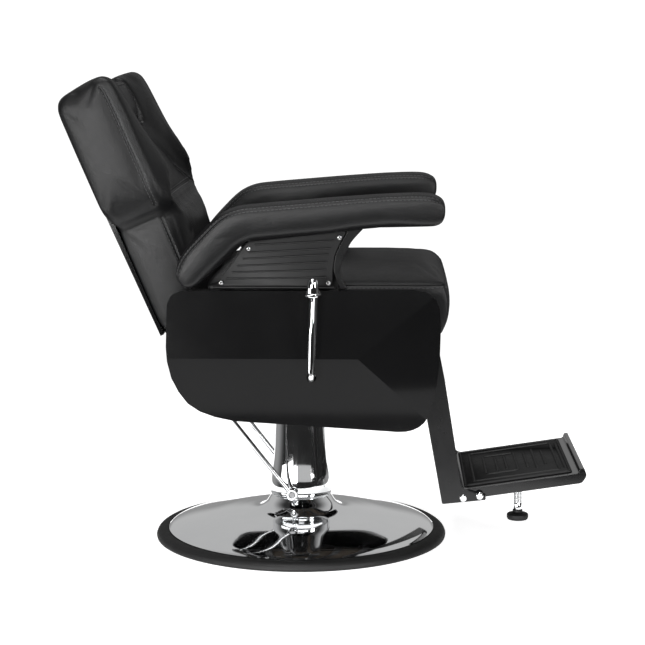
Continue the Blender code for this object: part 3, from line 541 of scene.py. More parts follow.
def simulate():
    """Puff every queued piece at once, then keep each point within its cap."""
    scene = bpy.context.scene
    for obj, *_ in SOFT:
        cloth = obj.modifiers.new("Cloth", "CLOTH")
        settings = cloth.settings
        settings.quality = 4
        settings.mass = 0.3
        settings.tension_stiffness = 18.0
        settings.compression_stiffness = 18.0
        settings.shear_stiffness = 8.0
        settings.bending_stiffness = 1.0
        settings.use_pressure = True
        settings.uniform_pressure_force = PRESSURE
        settings.effector_weights.gravity = 0.0
        settings.vertex_group_mass = "tacked"
        cloth.collision_settings.use_collision = False
        cloth.collision_settings.use_self_collision = False
        cloth.point_cache.frame_start = 1
        cloth.point_cache.frame_end = SIM_FRAMES
    for number in range(1, SIM_FRAMES + 1):
        scene.frame_set(number)
    for obj, start, swell, cap in SOFT:
        bake(obj)
        normals = [vertex.normal.copy() for vertex in obj.data.vertices]
        for vertex, place, normal, out in zip(obj.data.vertices, start, normals, swell):
            shift = vertex.co - place
            if shift.length > cap:
                shift = shift.normalized() * cap
            vertex.co = place + shift + normal * out
    scene.frame_set(1)


def subdivide(obj):
    """One round of subdivision over a soft piece."""
    modifier = obj.modifiers.new("Fine", "SUBSURF")
    modifier.levels = 1
    modifier.render_levels = 1
    return bake(obj)


def surface_tree(obj):
    """A tree of an object's faces for laying lines on it."""
    mesh = obj.data
    return BVHTree.FromPolygons([v.co.copy() for v in mesh.vertices], [list(p.vertices) for p in mesh.polygons])


def lay(guide, tree, direction, reach=0.30, step=0.002):
    """(point, normal) where a guide line falls on a surface when it is pushed along a direction."""
    direction = Vector(direction).normalized()
    laid = []
    for point in resample(guide, step):
        hit, normal, _, _ = tree.ray_cast(point - direction * 0.12, direction, reach)
        if hit:
            if normal.dot(direction) > 0:
                normal = -normal
            laid.append((hit, normal))
    return laid


def groove(obj, paths, width, depth):
    """Press seam lines into a soft piece, on a mesh made finer along them."""
    tree = path_tree([point for path in paths for point, _ in path])
    shape = bmesh.new()
    shape.from_mesh(obj.data)
    near = {v for v in shape.verts if tree.find(v.co)[2] < 2.6 * width}
    edges = [e for e in shape.edges if e.verts[0] in near and e.verts[1] in near]
    bmesh.ops.subdivide_edges(shape, edges=edges, cuts=1, use_grid_fill=True, smooth=0.0)
    shape.normal_update()
    moves = []
    for vertex in shape.verts:
        distance = tree.find(vertex.co)[2]
        if distance < 3.0 * width:
            dip = max(0.0, 1.0 - (distance / width) ** 2) ** 2
            swell = max(0.0, 1.0 - ((distance - 1.8 * width) / (1.2 * width)) ** 2)
            moves.append((vertex, vertex.normal * depth * (0.22 * swell - dip)))
    for vertex, move in moves:
        vertex.co += move
    shape.to_mesh(obj.data)
    shape.free()
    obj.data.shade_smooth()


def offset_path(path, offset):
    """A laid path moved sideways on its surface."""
    moved = []
    last = len(path) - 1
    for i, (point, normal) in enumerate(path):
        tangent = (path[min(i + 1, last)][0] - path[max(i - 1, 0)][0]).normalized()
        moved.append((point + normal.cross(tangent).normalized() * offset, normal))
    return moved


def stitch_row(path, length=0.0042, gap=0.0016, radius=0.00055):
    """Vertices and faces of one row of stitches sunk into the surface at both ends."""
    points = [point for point, _ in path]
    verts, faces = [], []
    sides = 6
    walked, start, inside = 0.0, None, False
    marks = []
    for i in range(1, len(points)):
        walked += (points[i] - points[i - 1]).length
        if walked >= (length if inside else gap):
            walked = 0.0
            if inside:
                marks.append((start, i))
            else:
                start = i
            inside = not inside
    for first, end in marks:
        a, b = points[first], points[end]
        normal = path[(first + end) // 2][1]
        tangent = (b - a).normalized()
        across = normal.cross(tangent).normalized()
        base = len(verts)
        for t, scale, lift in ((0.0, 0.35, -0.4), (0.2, 0.9, 0.35), (0.8, 0.9, 0.35), (1.0, 0.35, -0.4)):
            centre = a.lerp(b, t) + normal * radius * lift
            for k in range(sides):
                angle = 2 * math.pi * k / sides
                verts.append(centre + across * radius * scale * math.cos(angle)
                             + normal * radius * scale * math.sin(angle))
        for ring in range(3):
            for k in range(sides):
                n = (k + 1) % sides
                low = base + ring * sides
                faces.append([low + k, low + n, low + sides + n, low + sides + k])
        faces.append([base + k for k in range(sides)])
        faces.append([base + 3 * sides + k for k in range(sides)])
    return verts, faces


def stitching(name, tree, paths, offsets, body):
    """Rows of stitches along both sides of laid seam lines."""
    verts, faces = [], []
    for path in paths:
        for offset in offsets:
            row = []
            for point, normal in offset_path(path, offset):
                hit, face_normal, _, distance = tree.find_nearest(point)
                if hit and distance < 0.006:
                    row.append((hit, face_normal if face_normal.dot(normal) > 0 else -face_normal))
            row_verts, row_faces = stitch_row(row)
            faces += [[index + len(verts) for index in face] for face in row_faces]
            verts += row_verts
    obj = piece(name, verts, faces, THREAD, 60.0)
    return dress(obj, body, "leatherette")


def piping(name, path, radius, body, sink=0.35):
    """A welt cord along a laid seam line."""
    centres = [point - normal * radius * sink for point, normal in path]
    centres = catmull(resample(centres, 0.010), 4)
    return dress(sweep(name, centres, circle(radius, 10), LEATHER), body, "leatherette")


# ---------------------------------------------------------------- backrest upholstery
# Up the back, half width, depth of the rear edge, depth of the side's front edge, depth at the middle, then
# where the seam lies across and its depth, and where the bolster's crest lies across and its depth.
BACK_ROWS = (
    (0.030, 0.2180, 0.0100, 0.0960, 0.1080, 0.120, 0.1070, 0.190, 0.1060),
    (0.045, 0.2240, 0.0085, 0.1060, 0.1210, 0.120, 0.1190, 0.190, 0.1180),
    (0.100, 0.2250, 0.0085, 0.1090, 0.1310, 0.120, 0.1270, 0.190, 0.1240),
    (0.150, 0.2250, 0.0085, 0.1130, 0.1370, 0.120, 0.1320, 0.190, 0.1340),
    (0.200, 0.2250, 0.0085, 0.1160, 0.1400, 0.120, 0.1370, 0.190, 0.1400),
    (0.235, 0.2245, 0.0100, 0.1190, 0.1350, 0.120, 0.1350, 0.195, 0.1400),
    (0.248, 0.2255, 0.0110, 0.1215, 0.1300, 0.130, 0.1320, 0.205, 0.1380),
    (0.254, 0.2310, 0.0105, 0.1235, 0.1285, 0.150, 0.1310, 0.215, 0.1375),
    (0.262, 0.2385, 0.0065, 0.1250, 0.1250, 0.180, 0.1300, 0.226, 0.1375),
    (0.275, 0.2450, 0.0010, 0.1270, 0.1210, 0.200, 0.1280, 0.226, 0.1385),
    (0.290, 0.2490, -0.0030, 0.1275, 0.1250, 0.193, 0.1255, 0.222, 0.1430),
    (0.305, 0.2510, -0.0040, 0.1275, 0.1270, 0.177, 0.1195, 0.215, 0.1480),
    (0.320, 0.2510, -0.0040, 0.1275, 0.1260, 0.160, 0.1130, 0.207, 0.1510),
    (0.340, 0.2510, -0.0040, 0.1275, 0.1220, 0.141, 0.1070, 0.200, 0.1490),
    (0.360, 0.2510, -0.0040, 0.1275, 0.1170, 0.125, 0.1035, 0.195, 0.1460),
    (0.387, 0.2510, -0.0040, 0.1275, 0.1080, 0.104, 0.0985, 0.190, 0.1400),
    (0.417, 0.2510, -0.0040, 0.1275, 0.0970, 0.094, 0.0915, 0.188, 0.1340),
    (0.460, 0.2510, -0.0035, 0.1280, 0.0980, 0.092, 0.0945, 0.187, 0.1290),
    (0.500, 0.2510, -0.0030, 0.1270, 0.0940, 0.092, 0.0920, 0.187, 0.1240),
    (0.519, 0.2505, -0.0010, 0.1240, 0.0900, 0.092, 0.0900, 0.187, 0.1200),
    (0.5305, 0.2480, 0.0040, 0.1170, 0.0840, 0.092, 0.0850, 0.187, 0.1110),
    (0.5380, 0.2440, 0.0140, 0.1040, 0.0740, 0.092, 0.0760, 0.187, 0.0970),
)
BOARD_FRONT = 0.0270
CHANNEL_FRONT = 0.0335                          # the headrest's bar slides between the board and this depth
WRAP_INNER = 0.1985                             # the wings wrap the board outside this half width
RECESS_HALF = 0.1285
RECESS_LOW = 0.4290
BACK_STEPS = 96
FOLD_UP = 0.2480                                # the fold under the wings
WAIST_UP = 0.2747                               # the seam across the middle panel
INTO_BACK = (-1.0, 0.0, 0.0)                    # seams are laid on the front of the back along this
# The seam between the middle panel and a wing's bolster: across, depth, up.
DIAGONAL = ((0.218, 0.1270, 0.2640), (0.193, 0.1225, 0.2900), (0.160, 0.1120, 0.3200), (0.125, 0.1035, 0.3600),
            (0.104, 0.0990, 0.3870), (0.094, 0.0955, 0.4130))


def back_row(up):
    """The table's row at a height up the back."""
    for low, high in zip(BACK_ROWS, BACK_ROWS[1:]):
        if low[0] <= up <= high[0]:
            t = (up - low[0]) / (high[0] - low[0])
            return [a + (b - a) * t for a, b in zip(low, high)]
    return list(BACK_ROWS[-1] if up > BACK_ROWS[-1][0] else BACK_ROWS[0])


def back_ring(up):
    """One closed section across the backrest's upholstery, as (depth, y, up)."""
    _, half, rear, edge, middle, seam_y, seam, crest_y, crest = back_row(up)
    inside = BOARD_FRONT if up < 0.250 else CHANNEL_FRONT
    rear = min(rear, inside)
    straight = [(0.0, inside), (0.100, inside), (0.190, inside), (WRAP_INNER, inside - 0.0005),
                (WRAP_INNER, rear + 0.0005), (half - 0.012, rear), (half - 0.0035, rear + 0.003),
                (half, rear + 0.011)]
    curve = catmull([(half, rear + 0.011, 0), (half, (rear + edge) / 2, 0), (half, edge - 0.020, 0),
                     (half - 0.0020, edge - 0.009, 0), (half - 0.0080, edge - 0.0015, 0),
                     (crest_y, crest, 0), (crest_y * 0.7 + seam_y * 0.3, crest * 0.6 + seam * 0.4, 0),
                     (seam_y, seam, 0), (seam_y * 0.55, middle * 0.75 + seam * 0.25, 0), (0.0, middle, 0)], 6)
    points = straight + [(point.x, point.y) for point in curve[1:]]
    slope = 0.10 * max(0.0, min(1.0, (up - 0.50) / 0.03))
    right = [(depth, -y, up + slope * (depth - 0.07)) for y, depth in reversed(points[1:-1])]
    left = [(depth, y, up + slope * (depth - 0.07)) for y, depth in points]
    return left + right


def build_back_upholstery():
    """Middle panel, bolsters and wings in one, with the recess for the headrest cut out."""
    foot, head = BACK_ROWS[0][0], BACK_ROWS[-1][0]
    rings = [back_ring(foot + (head - foot) * k / BACK_STEPS) for k in range(BACK_STEPS + 1)]
    body = loft("back_upholstery", rings, LEATHER)
    opening = [(-0.02, RECESS_LOW), (0.20, RECESS_LOW - 0.006), (0.20, 0.60), (-0.02, 0.60)]
    cutter = slab("recess_cutter", opening,
                  -RECESS_HALF, RECESS_HALF, LEATHER, edge=0)
    carve(body, cutter)
    soften(body, 0.0055, 4)
    guides = [[Vector((0.120, y, WAIST_UP)) for y in (-0.20, -0.1, 0.1, 0.20)]]
    for side in (-1, 1):
        guides.append([Vector((d, side * y, up)) for y, d, up in DIAGONAL])
        guides.append([Vector((0.1015, side * 0.250, 0.275)), Vector((0.1015, side * 0.250, 0.530))])
        guides.append([Vector((0.1080, side * 0.222, 0.045)), Vector((0.1120, side * 0.222, 0.245))])
    puff(body, guides, 0.008, 0.0040, back_tacked, fill=0.0045)
    return body


def back_tacked(co):
    """Where the upholstery is stapled down: behind, inside the recess and along the fold under the wings."""
    behind = co.x < 0.034 and abs(co.y) < WRAP_INNER + 0.004
    return behind or co.x < 0.001 or abs(co.z - FOLD_UP) < 0.006


def finish_back_upholstery(body):
    """Press in the seams, stitch them and move the back into place."""
    subdivide(body)
    smooth(body.data, 1, 0.4)
    tree = surface_tree(body)
    front, sides = [], []
    front.append(lay([(0.125, -0.206, WAIST_UP), (0.125, 0.206, WAIST_UP)], tree, INTO_BACK))
    for side in (-1, 1):
        diagonal = catmull([(0.125, side * y, up) for y, _, up in DIAGONAL], 6)
        front.append(lay(diagonal, tree, INTO_BACK))
        wing = catmull([(0.1020, side * 0.25, 0.268), (0.1015, side * 0.25, 0.40), (0.1000, side * 0.25, 0.50),
                        (0.0960, side * 0.25, 0.520)], 6)
        sides.append(lay(wing, tree, (0, -side, 0)))
        lower = [(0.0985, side * 0.225, 0.050), (0.1010, side * 0.225, 0.238)]
        sides.append(lay(lower, tree, (0, -side, 0)))
    paths = front + sides
    groove(body, paths, 0.0038, 0.0015)
    tree = surface_tree(body)
    seams = stitching("back_stitching", tree, front, (-0.0046, 0.0046), "back")
    side_seams = stitching("back_side_stitching", tree, sides, (-0.0036, 0.0036), "back")
    for obj in (body, seams, side_seams):
        obj.data.transform(BACK_FRAME)
    dress(body, "back", "leatherette", "back_cushion", "head_cushion", "wing_left", "wing_right")


# The headrest: its foot and top up the back, its rear and front depth and its half width.
HEADREST = (0.4320, 0.5290, 0.0345, 0.1080, 0.1225)


def pillow_ring(up, half_up, half_width, rear, front, power=9.0):
    """A rounded section of a pillow, as (depth, y, up); the ends of the pillow draw in."""
    reach = max(0.0, 1.0 - abs(up / half_up) ** power) ** (1.0 / power)
    reach = max(reach, 0.35)
    crown = (front - rear) * (0.92 + 0.08 * math.cos(up / half_up * math.pi / 2))
    ring = []
    for k in range(72):
        angle = 2 * math.pi * k / 72
        c, s = math.cos(angle), math.sin(angle)
        y = half_width * (0.96 + 0.04 * reach) * math.copysign(abs(c) ** 0.42, c)
        depth = 0.5 + 0.5 * math.copysign(abs(s) ** 0.5, s) * reach
        bulge = 1.0 - 0.05 * (y / half_width) ** 2
        ring.append((rear + crown * depth * bulge, y, up))
    return ring


def build_headrest_pad():
    """The pillow that slides in the recess."""
    low, high, rear, front, half_width = HEADREST
    middle, half = (low + high) / 2, (high - low) / 2
    rings = []
    for k in range(25):
        up = half * math.sin(math.radians(-90 + 7.5 * k)) * 0.999
        rings.append([(d, y, z + middle) for d, y, z in pillow_ring(up, half, half_width, rear, front)])
    pad = soften(loft("headrest_cushion", rings, LEATHER), 0.0045, 3)
    puff(pad, [], 0.005, 0.003, lambda co: co.x < 0.040, fill=0.002)
    return pad


def finish_headrest_pad(pad):
    """Two stitched seams across the pillow."""
    subdivide(pad)
    tree = surface_tree(pad)
    rows = [lay([(0.06, -0.108, up), (0.06, 0.108, up)], tree, INTO_BACK) for up in (0.445, 0.516)]
    groove(pad, rows, 0.0036, 0.0014)
    seams = stitching("headrest_stitching", surface_tree(pad), rows, (0.0034,), "headrest")
    for obj in (pad, seams):
        obj.data.transform(BACK_FRAME)
    dress(pad, "headrest", "leatherette", "headrest_pad")


def build_recess_liner():
    """Black lining over the board where the headrest slides."""
    profile = rounded([(0.0269, 0.396), (0.0281, 0.396), (0.0281, 0.5022), (0.0150, 0.5022), (0.0150, 0.5010),
                       (0.0269, 0.5010)], 0.0004, 2)
    liner = slab("headrest_recess_liner", profile, -0.1940, 0.1940, LEATHER, edge=0)
    liner.data.transform(BACK_FRAME)
    dress(liner, "back", "leatherette")


# ---------------------------------------------------------------- seat upholstery
SEAT_HALF = 0.2575
SEAT_LIMIT = 0.2590
SEAT_SEAM_Z = 0.5730


def seat_ring(y):
    """Side outline of the seat cushion at y; the top panel crowns over the piped seam."""
    u = min(1.0, abs(y) / SEAT_HALF)
    crown = (1.0 - u ** 3.2) ** 0.55
    pull = 0.004 * u ** 4
    top = SEAT_SEAM_Z + 0.0305 * crown
    front_top = SEAT_SEAM_Z + 0.0270 * crown
    outline = [(-0.1280, 0.4505), (0.2370, 0.4505), (0.2420, 0.4650), (0.2910 - pull, 0.4650),
               (0.3060 - pull, 0.4980), (0.3100 - pull, 0.5230), (0.3080 - pull, 0.5480),
               (0.3020 - pull, SEAT_SEAM_Z - 0.002), (0.2980 - pull, SEAT_SEAM_Z + 0.010 * crown),
               (0.2860 - pull, front_top), (0.2450, top - 0.001 * crown), (0.1700, top),
               (0.0500, top - 0.0010 * crown), (-0.0900, top - 0.005 * crown), (-0.1600, top - 0.008 * crown),
               (-0.1790, SEAT_SEAM_Z + 0.014 * crown), (-0.1790, SEAT_SEAM_Z - 0.004), (-0.1640, 0.5150)]
    corner = [0.003, 0.003, 0.003, 0.012, 0.03, 0.03, 0.03, 0.01, 0.02, 0.03, 0.08, 0.2, 0.2, 0.1, 0.02, 0.012,
              0.01, 0.05]
    return [(point.x, y, point.y) for point in fillet(outline, corner, True, 4)]


def build_seat_upholstery():
    """Seat cushion with a crowned top panel over a piped border."""
    rings = [seat_ring(SEAT_HALF * math.sin(math.radians(-90 + 3 * k))) for k in range(61)]
    rings = [resample(ring + ring[:1], 0.012) for ring in rings]
    size = min(len(ring) for ring in rings)
    rings = [spread(ring, size) for ring in rings]
    seat = soften(loft("seat_upholstery", rings, LEATHER), 0.0055, 3)
    puff(seat, [seat_seam_line()], 0.010, 0.0045, seat_tacked, fill=0.0030)
    return seat


def seat_tacked(co):
    """Where the cover is held: underneath and low on its sides."""
    return co.z < 0.470 or abs(co.y) > SEAT_HALF - 0.004 and co.z < 0.56


def spread(ring, size):
    """A closed ring resampled to a set number of points."""
    total = sum((b - a).length for a, b in zip(ring, ring[1:] + ring[:1]))
    even = resample(ring + ring[:1], total / size)
    return even[:size] if len(even) >= size else even + [even[-1]] * (size - len(even))


def seat_seam_line():
    """The piped seam round the top panel, from the rear right corner to the rear left."""
    side = [Vector((-0.150, -SEAT_HALF, SEAT_SEAM_Z)), Vector((0.262, -SEAT_HALF, SEAT_SEAM_Z))]
    corner = [Vector((0.293, -SEAT_HALF + 0.008, SEAT_SEAM_Z)), Vector((0.3015, -SEAT_HALF + 0.030, SEAT_SEAM_Z))]
    half = side + corner + [Vector((0.3045, -0.12, SEAT_SEAM_Z)), Vector((0.3050, 0.0, SEAT_SEAM_Z))]
    return half + [Vector((p.x, -p.y, p.z)) for p in reversed(half[:-1])]


def finish_seat_upholstery(seat):
    """Keep the sides off the arm plates, then press, pipe and stitch the seam round the top."""
    for vertex in seat.data.vertices:
        vertex.co.y = max(-SEAT_LIMIT, min(SEAT_LIMIT, vertex.co.y))
    subdivide(seat)
    smooth(seat.data, 1, 0.4)
    tree = surface_tree(seat)
    centre = Vector((0.05, 0.0, SEAT_SEAM_Z))
    laid = []
    for point in resample(seat_seam_line(), 0.003):
        hit, normal, _, _ = tree.find_nearest(point)
        laid.append((hit, normal if normal.dot(hit - centre) > 0 else -normal))
    groove(seat, [laid], 0.0040, 0.0015)
    piping("seat_piping", laid, 0.0026, "seat")
    stitching("seat_border_stitching", surface_tree(seat), [laid], (-0.0075,), "seat")
    dress(seat, "seat", "leatherette", "seat_cushion")


# ---------------------------------------------------------------- armrest pads
# Stations along an armrest from its front tip to its rear foot: upper point, lower point, width factor.
PAD_STATIONS = (
    ((0.2935, 0.7285), (0.2935, 0.7185), 0.84), ((0.2915, 0.7410), (0.2905, 0.7050), 0.93),
    ((0.2805, 0.7505), (0.2790, 0.6940), 0.98), ((0.2560, 0.7570), (0.2500, 0.6925), 1.0),
    ((0.1900, 0.7555), (0.1900, 0.6940), 1.0), ((0.1231, 0.7510), (0.1231, 0.6890), 1.0),
    ((0.0600, 0.7460), (0.0659, 0.6805), 1.0), ((-0.0102, 0.7400), (0.0000, 0.6742), 1.0),
    ((-0.0700, 0.7350), (-0.0500, 0.6692), 1.0), ((-0.1140, 0.7295), (-0.0850, 0.6652), 1.0),
    ((-0.1500, 0.7125), (-0.1070, 0.6560), 1.0), ((-0.1825, 0.6810), (-0.1270, 0.6375), 1.0),
    ((-0.2140, 0.6465), (-0.1600, 0.6050), 1.0), ((-0.2295, 0.6170), (-0.1795, 0.5860), 1.0),
    ((-0.2320, 0.5980), (-0.1905, 0.5765), 0.99), ((-0.2260, 0.5815), (-0.2000, 0.5720), 0.94),
    ((-0.2155, 0.5730), (-0.2105, 0.5712), 0.86),
)
PAD_MIDDLE = 0.2880
PAD_HALF = 0.0405


def build_arm_pad(name, side):
    """A boomerang pad lofted through its stations."""
    upper = catmull([(*station[0], station[2]) for station in PAD_STATIONS], 5)
    lower = catmull([(*station[1], station[2]) for station in PAD_STATIONS], 5)
    rings = []
    for top, low in zip(upper, lower):
        centre = (top + low) / 2
        half = (top - low) / 2
        ring = []
        for k in range(56):
            angle = 2 * math.pi * k / 56
            c, s = math.cos(angle), math.sin(angle)
            y = PAD_HALF * top.z * math.copysign(abs(c) ** 0.42, c)
            rise = math.copysign(abs(s) ** 0.46, s)
            ring.append((centre.x + half.x * rise, side * PAD_MIDDLE + y, centre.y + half.y * rise))
        rings.append(ring)
    pad = soften(loft("arm_cushion_" + name, rings, LEATHER), 0.0045, 3)
    inner, outer = side * (PAD_MIDDLE - PAD_HALF), side * (PAD_MIDDLE + PAD_HALF)
    guides = [[Vector((p.x, y, p.y)) for p in pad_seam()] for y in (inner, outer)]
    guides += [[Vector((p[0], y, p[1] + 0.001)) for _, p, _ in PAD_STATIONS[3:13]] for y in (inner, outer)]
    puff(pad, guides, 0.006, 0.0032, lambda co: False, reach=0.010, fill=0.0025)
    return pad


def pad_seam():
    """The seam along a pad's upper edge."""
    line = []
    for top, low, _ in PAD_STATIONS[2:15]:
        top, low = Vector((*top, 0)), Vector((*low, 0))
        line.append(top.lerp(low, 0.13))
    return catmull(line, 4)


def finish_arm_pad(pad, name, side):
    """A stitched seam along both upper edges."""
    subdivide(pad)
    tree = surface_tree(pad)
    seams = []
    for facing in (1, -1):
        guide = [Vector((p.x, side * PAD_MIDDLE + facing * side * 0.05, p.y)) for p in pad_seam()]
        seams.append(lay(guide, tree, (0, -facing * side, 0)))
    groove(pad, seams, 0.0036, 0.0013)
    stitching("arm_cushion_stitching_" + name, surface_tree(pad), seams, (-0.0034, 0.0034), "seat")
    dress(pad, "seat", "leatherette", "arm_pad_" + name)


# ---------------------------------------------------------------- base and column
DISC_PROFILE = [(0.0600, 0.0900), (0.0625, 0.0872), (0.0680, 0.0800), (0.0760, 0.0690), (0.0880, 0.0600),
                (0.1050, 0.0545), (0.1400, 0.0500), (0.1800, 0.0450), (0.2200, 0.0375), (0.2550, 0.0300),
                (0.2750, 0.0240), (0.2835, 0.0190)]
COVER_PROFILE = [(0.0540, 0.3150), (0.0541, 0.2800), (0.0548, 0.2300), (0.0565, 0.1950), (0.0592, 0.1650),
                 (0.0617, 0.1470), (0.0640, 0.1330), (0.0657, 0.1220), (0.0666, 0.1130), (0.0666, 0.1040),
                 (0.0658, 0.0960), (0.0630, 0.0885)]
SHEET = 0.0020


def profile_curve(points, per=6):
    """A smooth curve through flat points."""
    return [(p.x, p.y) for p in catmull([(x, z, 0.0) for x, z in points], per)]


def build_base():
    """Floor ring, chrome disc, column cover, cylinder gland and lift ram."""
    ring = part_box("base_ring")[1]
    radius, height = ring.x, ring.z
    outline = [(0.2845, height), (0.2985, 0.0172), (0.3072, 0.0118), (radius, 0.0045), (radius - 0.001, 0.0002),
               (0.2680, 0.0002), (0.2680, 0.0148), (0.2845, 0.0148)]
    outline = rounded(outline, [0.002, 0.02, 0.01, 0.004, 0.001, 0.001, 0.001, 0.001], 5)
    dress(turned("floor_ring", outline, RUBBER, 192, closed=True), "base", "rubber", "base_ring")

    top = profile_curve(DISC_PROFILE)
    under = [(r - 0.0003, z - SHEET) for r, z in reversed(top)]
    dress(turned("chrome_disc", top + under, CHROME, 192, closed=True), "base", "chrome", "base_disc")

    outside = profile_curve(COVER_PROFILE)
    lip = [(0.0545, 0.3158)]
    inside = [(r - SHEET, z) for r, z in reversed(outside)]
    cover = turned("column_trumpet", outside + inside + lip, CHROME, 128, closed=True)
    carve(cover, drill(0.0088, 0.09, PUMP_AXIS))
    cover.data.shade_smooth()
    cover.data.set_sharp_from_angle(angle=math.radians(40))
    dress(cover, "base", "chrome", "column_cover")

    low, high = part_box("cylinder_gland")
    gland = rounded([(0.0262, low.z), (high.x, low.z), (high.x, high.z - 0.004), (high.x - 0.003, high.z),
                     (0.0285, high.z), (0.0262, high.z - 0.002)], 0.0008, 3)
    dress(turned("oil_seal_gland", gland, STEEL, 96, closed=True), "base", "steel", "cylinder_gland")

    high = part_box("piston_rod")[1]
    rod = [(0.0, 0.1284), (0.0295, 0.1284), (0.0300, 0.1300), (0.0300, 0.1430), (0.0250, 0.1434),
           (0.0250, 0.3435), (0.0240, 0.3450), (0.0180, 0.3452), (0.0180, 0.3935), (0.0165, high.z), (0.0, high.z)]
    dress(turned("lift_ram", rod, CHROME, 96), "lift", "chrome", "piston_rod")


def build_pump_lever():
    """The U-shaped bar with its hubs, ribbed grip and shaft."""
    along = Vector((-math.cos(PUMP_ANGLE), 0.0, math.sin(PUMP_ANGLE)))
    corner = 0.018
    foot = PUMP_AXIS + Vector((0, -PUMP_HALF_WIDTH, 0))
    path = [foot, foot + along * (PUMP_LENGTH - corner)]
    for degrees in range(10, 91, 10):
        a = math.radians(degrees)
        path.append(foot + Vector((0, corner * (1 - math.cos(a)), 0))
                    + along * (PUMP_LENGTH - corner + corner * math.sin(a)))
    path += [Vector((p.x, -p.y, p.z)) for p in reversed(path)]
    parts = [sweep("lever_bar", path, circle(0.0050, 24), CHROME, domed=False)]
    for name, side in SIDES:
        hub = [(0.0072, -0.005), (0.0108, -0.005), (0.0120, -0.0038), (0.0120, 0.0038), (0.0108, 0.005),
               (0.0072, 0.005)]
        place = Matrix.Translation(PUMP_AXIS + Vector((0, side * PUMP_HALF_WIDTH, 0))) @ ACROSS
        parts.append(turned("lever_hub_" + name, hub, CHROME, 64, place, closed=True))
    dress(join("pump_lever_bar", parts), "pump_lever", "chrome", "lever_rod")

    grip = [(0.0051, 0.050), (0.0092, 0.050), (0.0112, 0.0478)]
    for k in range(13):
        z = 0.0440 - 0.00733 * k
        grip += [(0.0115, z), (0.0115, z - 0.0040), (0.0106, z - 0.0048), (0.0106, z - 0.0064)]
    grip += [(0.0112, -0.0485), (0.0092, -0.050), (0.0051, -0.050)]
    place = Matrix.Translation(PUMP_AXIS + along * PUMP_LENGTH) @ ACROSS
    dress(turned("pump_lever_grip", grip, RUBBER, 64, place, closed=True), "pump_lever", "rubber", "lever_grip")

    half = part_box("lever_shaft")[1].y
    pin = [(0.0, half), (0.0052, half), (0.0070, half - 0.0015), (0.0070, 0.0015 - half), (0.0052, -half),
           (0.0, -half)]
    place = Matrix.Translation(PUMP_AXIS) @ ACROSS
    dress(turned("pump_lever_shaft", pin, STEEL, 48, place), "pump_lever", "steel", "lever_shaft")


# ---------------------------------------------------------------- side panels and armrests
PANEL_WALL = 0.0040
PANEL_ROUND = 0.0042
PANEL_RISE = 0.0180
PANEL_RIDGE_Z = 0.4320
PANEL_PEAK_X = 0.1245
PANEL_RIM = 0.2960
PANEL_OUTLINE = (
    (-0.2530, 0.4540), (-0.2506, 0.4250), (-0.2430, 0.3920), (-0.2295, 0.3640), (-0.2118, 0.3400),
    (-0.1882, 0.3238), (-0.1581, 0.3125), (-0.1185, 0.3042), (0.2038, 0.2838), (0.2190, 0.2844),
    (0.2330, 0.2878), (0.2450, 0.2938), (0.2550, 0.3025), (0.2625, 0.3140), (0.2680, 0.3290),
    (0.2730, 0.3480), (0.2790, 0.3750), (0.2852, 0.4294), (0.2867, 0.4889), (0.2843, 0.5285),
    (0.2764, 0.5481), (0.2606, 0.5629), (0.2353, 0.5657), (-0.2247, 0.5635), (-0.2430, 0.5550),
    (-0.2510, 0.5380),
)


def build_side_panel(name, side):
    """A pressed shell with three facets, softened along every fold and open towards the seat."""
    low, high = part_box("side_panel_" + name)
    inner = min(abs(low.y), abs(high.y))
    shape = bmesh.new()
    rim = [shape.verts.new((x, side * inner, z)) for x, z in rounded(PANEL_OUTLINE, 0.016, 3)]
    base_face = shape.faces.new(rim)
    grown = bmesh.ops.extrude_face_region(shape, geom=[base_face])
    lifted = [item for item in grown["geom"] if isinstance(item, bmesh.types.BMVert)]
    bmesh.ops.translate(shape, vec=(0, side * (PANEL_RIM + PANEL_RISE - inner), 0), verts=lifted)
    centre = Vector((0.0, side * PANEL_RIM, 0.0))
    slopes = (
        (Vector((0, side, PANEL_RISE / (high.z - PANEL_RIDGE_Z))), Vector((0, 0, high.z))),
        (Vector((0, side, -PANEL_RISE / (PANEL_RIDGE_Z - low.z))), Vector((0, 0, low.z))),
        (Vector((PANEL_RISE / (high.x - PANEL_PEAK_X), side, 0)), Vector((high.x, 0, 0))),
    )
    for normal, point in slopes:
        cut = bmesh.ops.bisect_plane(shape, geom=shape.verts[:] + shape.edges[:] + shape.faces[:], dist=1e-5,
                                     plane_co=point + centre, plane_no=normal.normalized(), clear_outer=True)
        edges = [item for item in cut["geom_cut"] if isinstance(item, bmesh.types.BMEdge)]
        bmesh.ops.holes_fill(shape, edges=edges, sides=0)
    bmesh.ops.recalc_face_normals(shape, faces=shape.faces)
    open_side = [face for face in shape.faces if all(abs(abs(v.co.y) - inner) < 1e-5 for v in face.verts)]
    bmesh.ops.delete(shape, geom=open_side, context="FACES")
    mesh = bpy.data.meshes.new("panel_shell_" + name)
    shape.to_mesh(mesh)
    shape.free()
    mesh.materials.append(GLOSS)
    mesh.shade_smooth()
    panel = bpy.data.objects.new("panel_shell_" + name, mesh)
    bpy.context.scene.collection.objects.link(panel)
    shell = panel.modifiers.new("Wall", "SOLIDIFY")
    shell.thickness = PANEL_WALL
    shell.offset = -1.0
    shell.use_even_offset = True
    if side < 0:
        carve(panel, drill(0.0095, 0.1, RECLINE_AXIS))
    else:
        bake(panel)
    round_edges(panel, PANEL_ROUND, 4, 3.5)
    dress(panel, "seat", "gloss_plastic", "side_panel_" + name)


def outward(point, side):
    """Placement of a piece made about Z so that it points out of the chair's side."""
    return Matrix.Translation(point) @ Matrix.Rotation(math.radians(-90 * side), 4, "X")


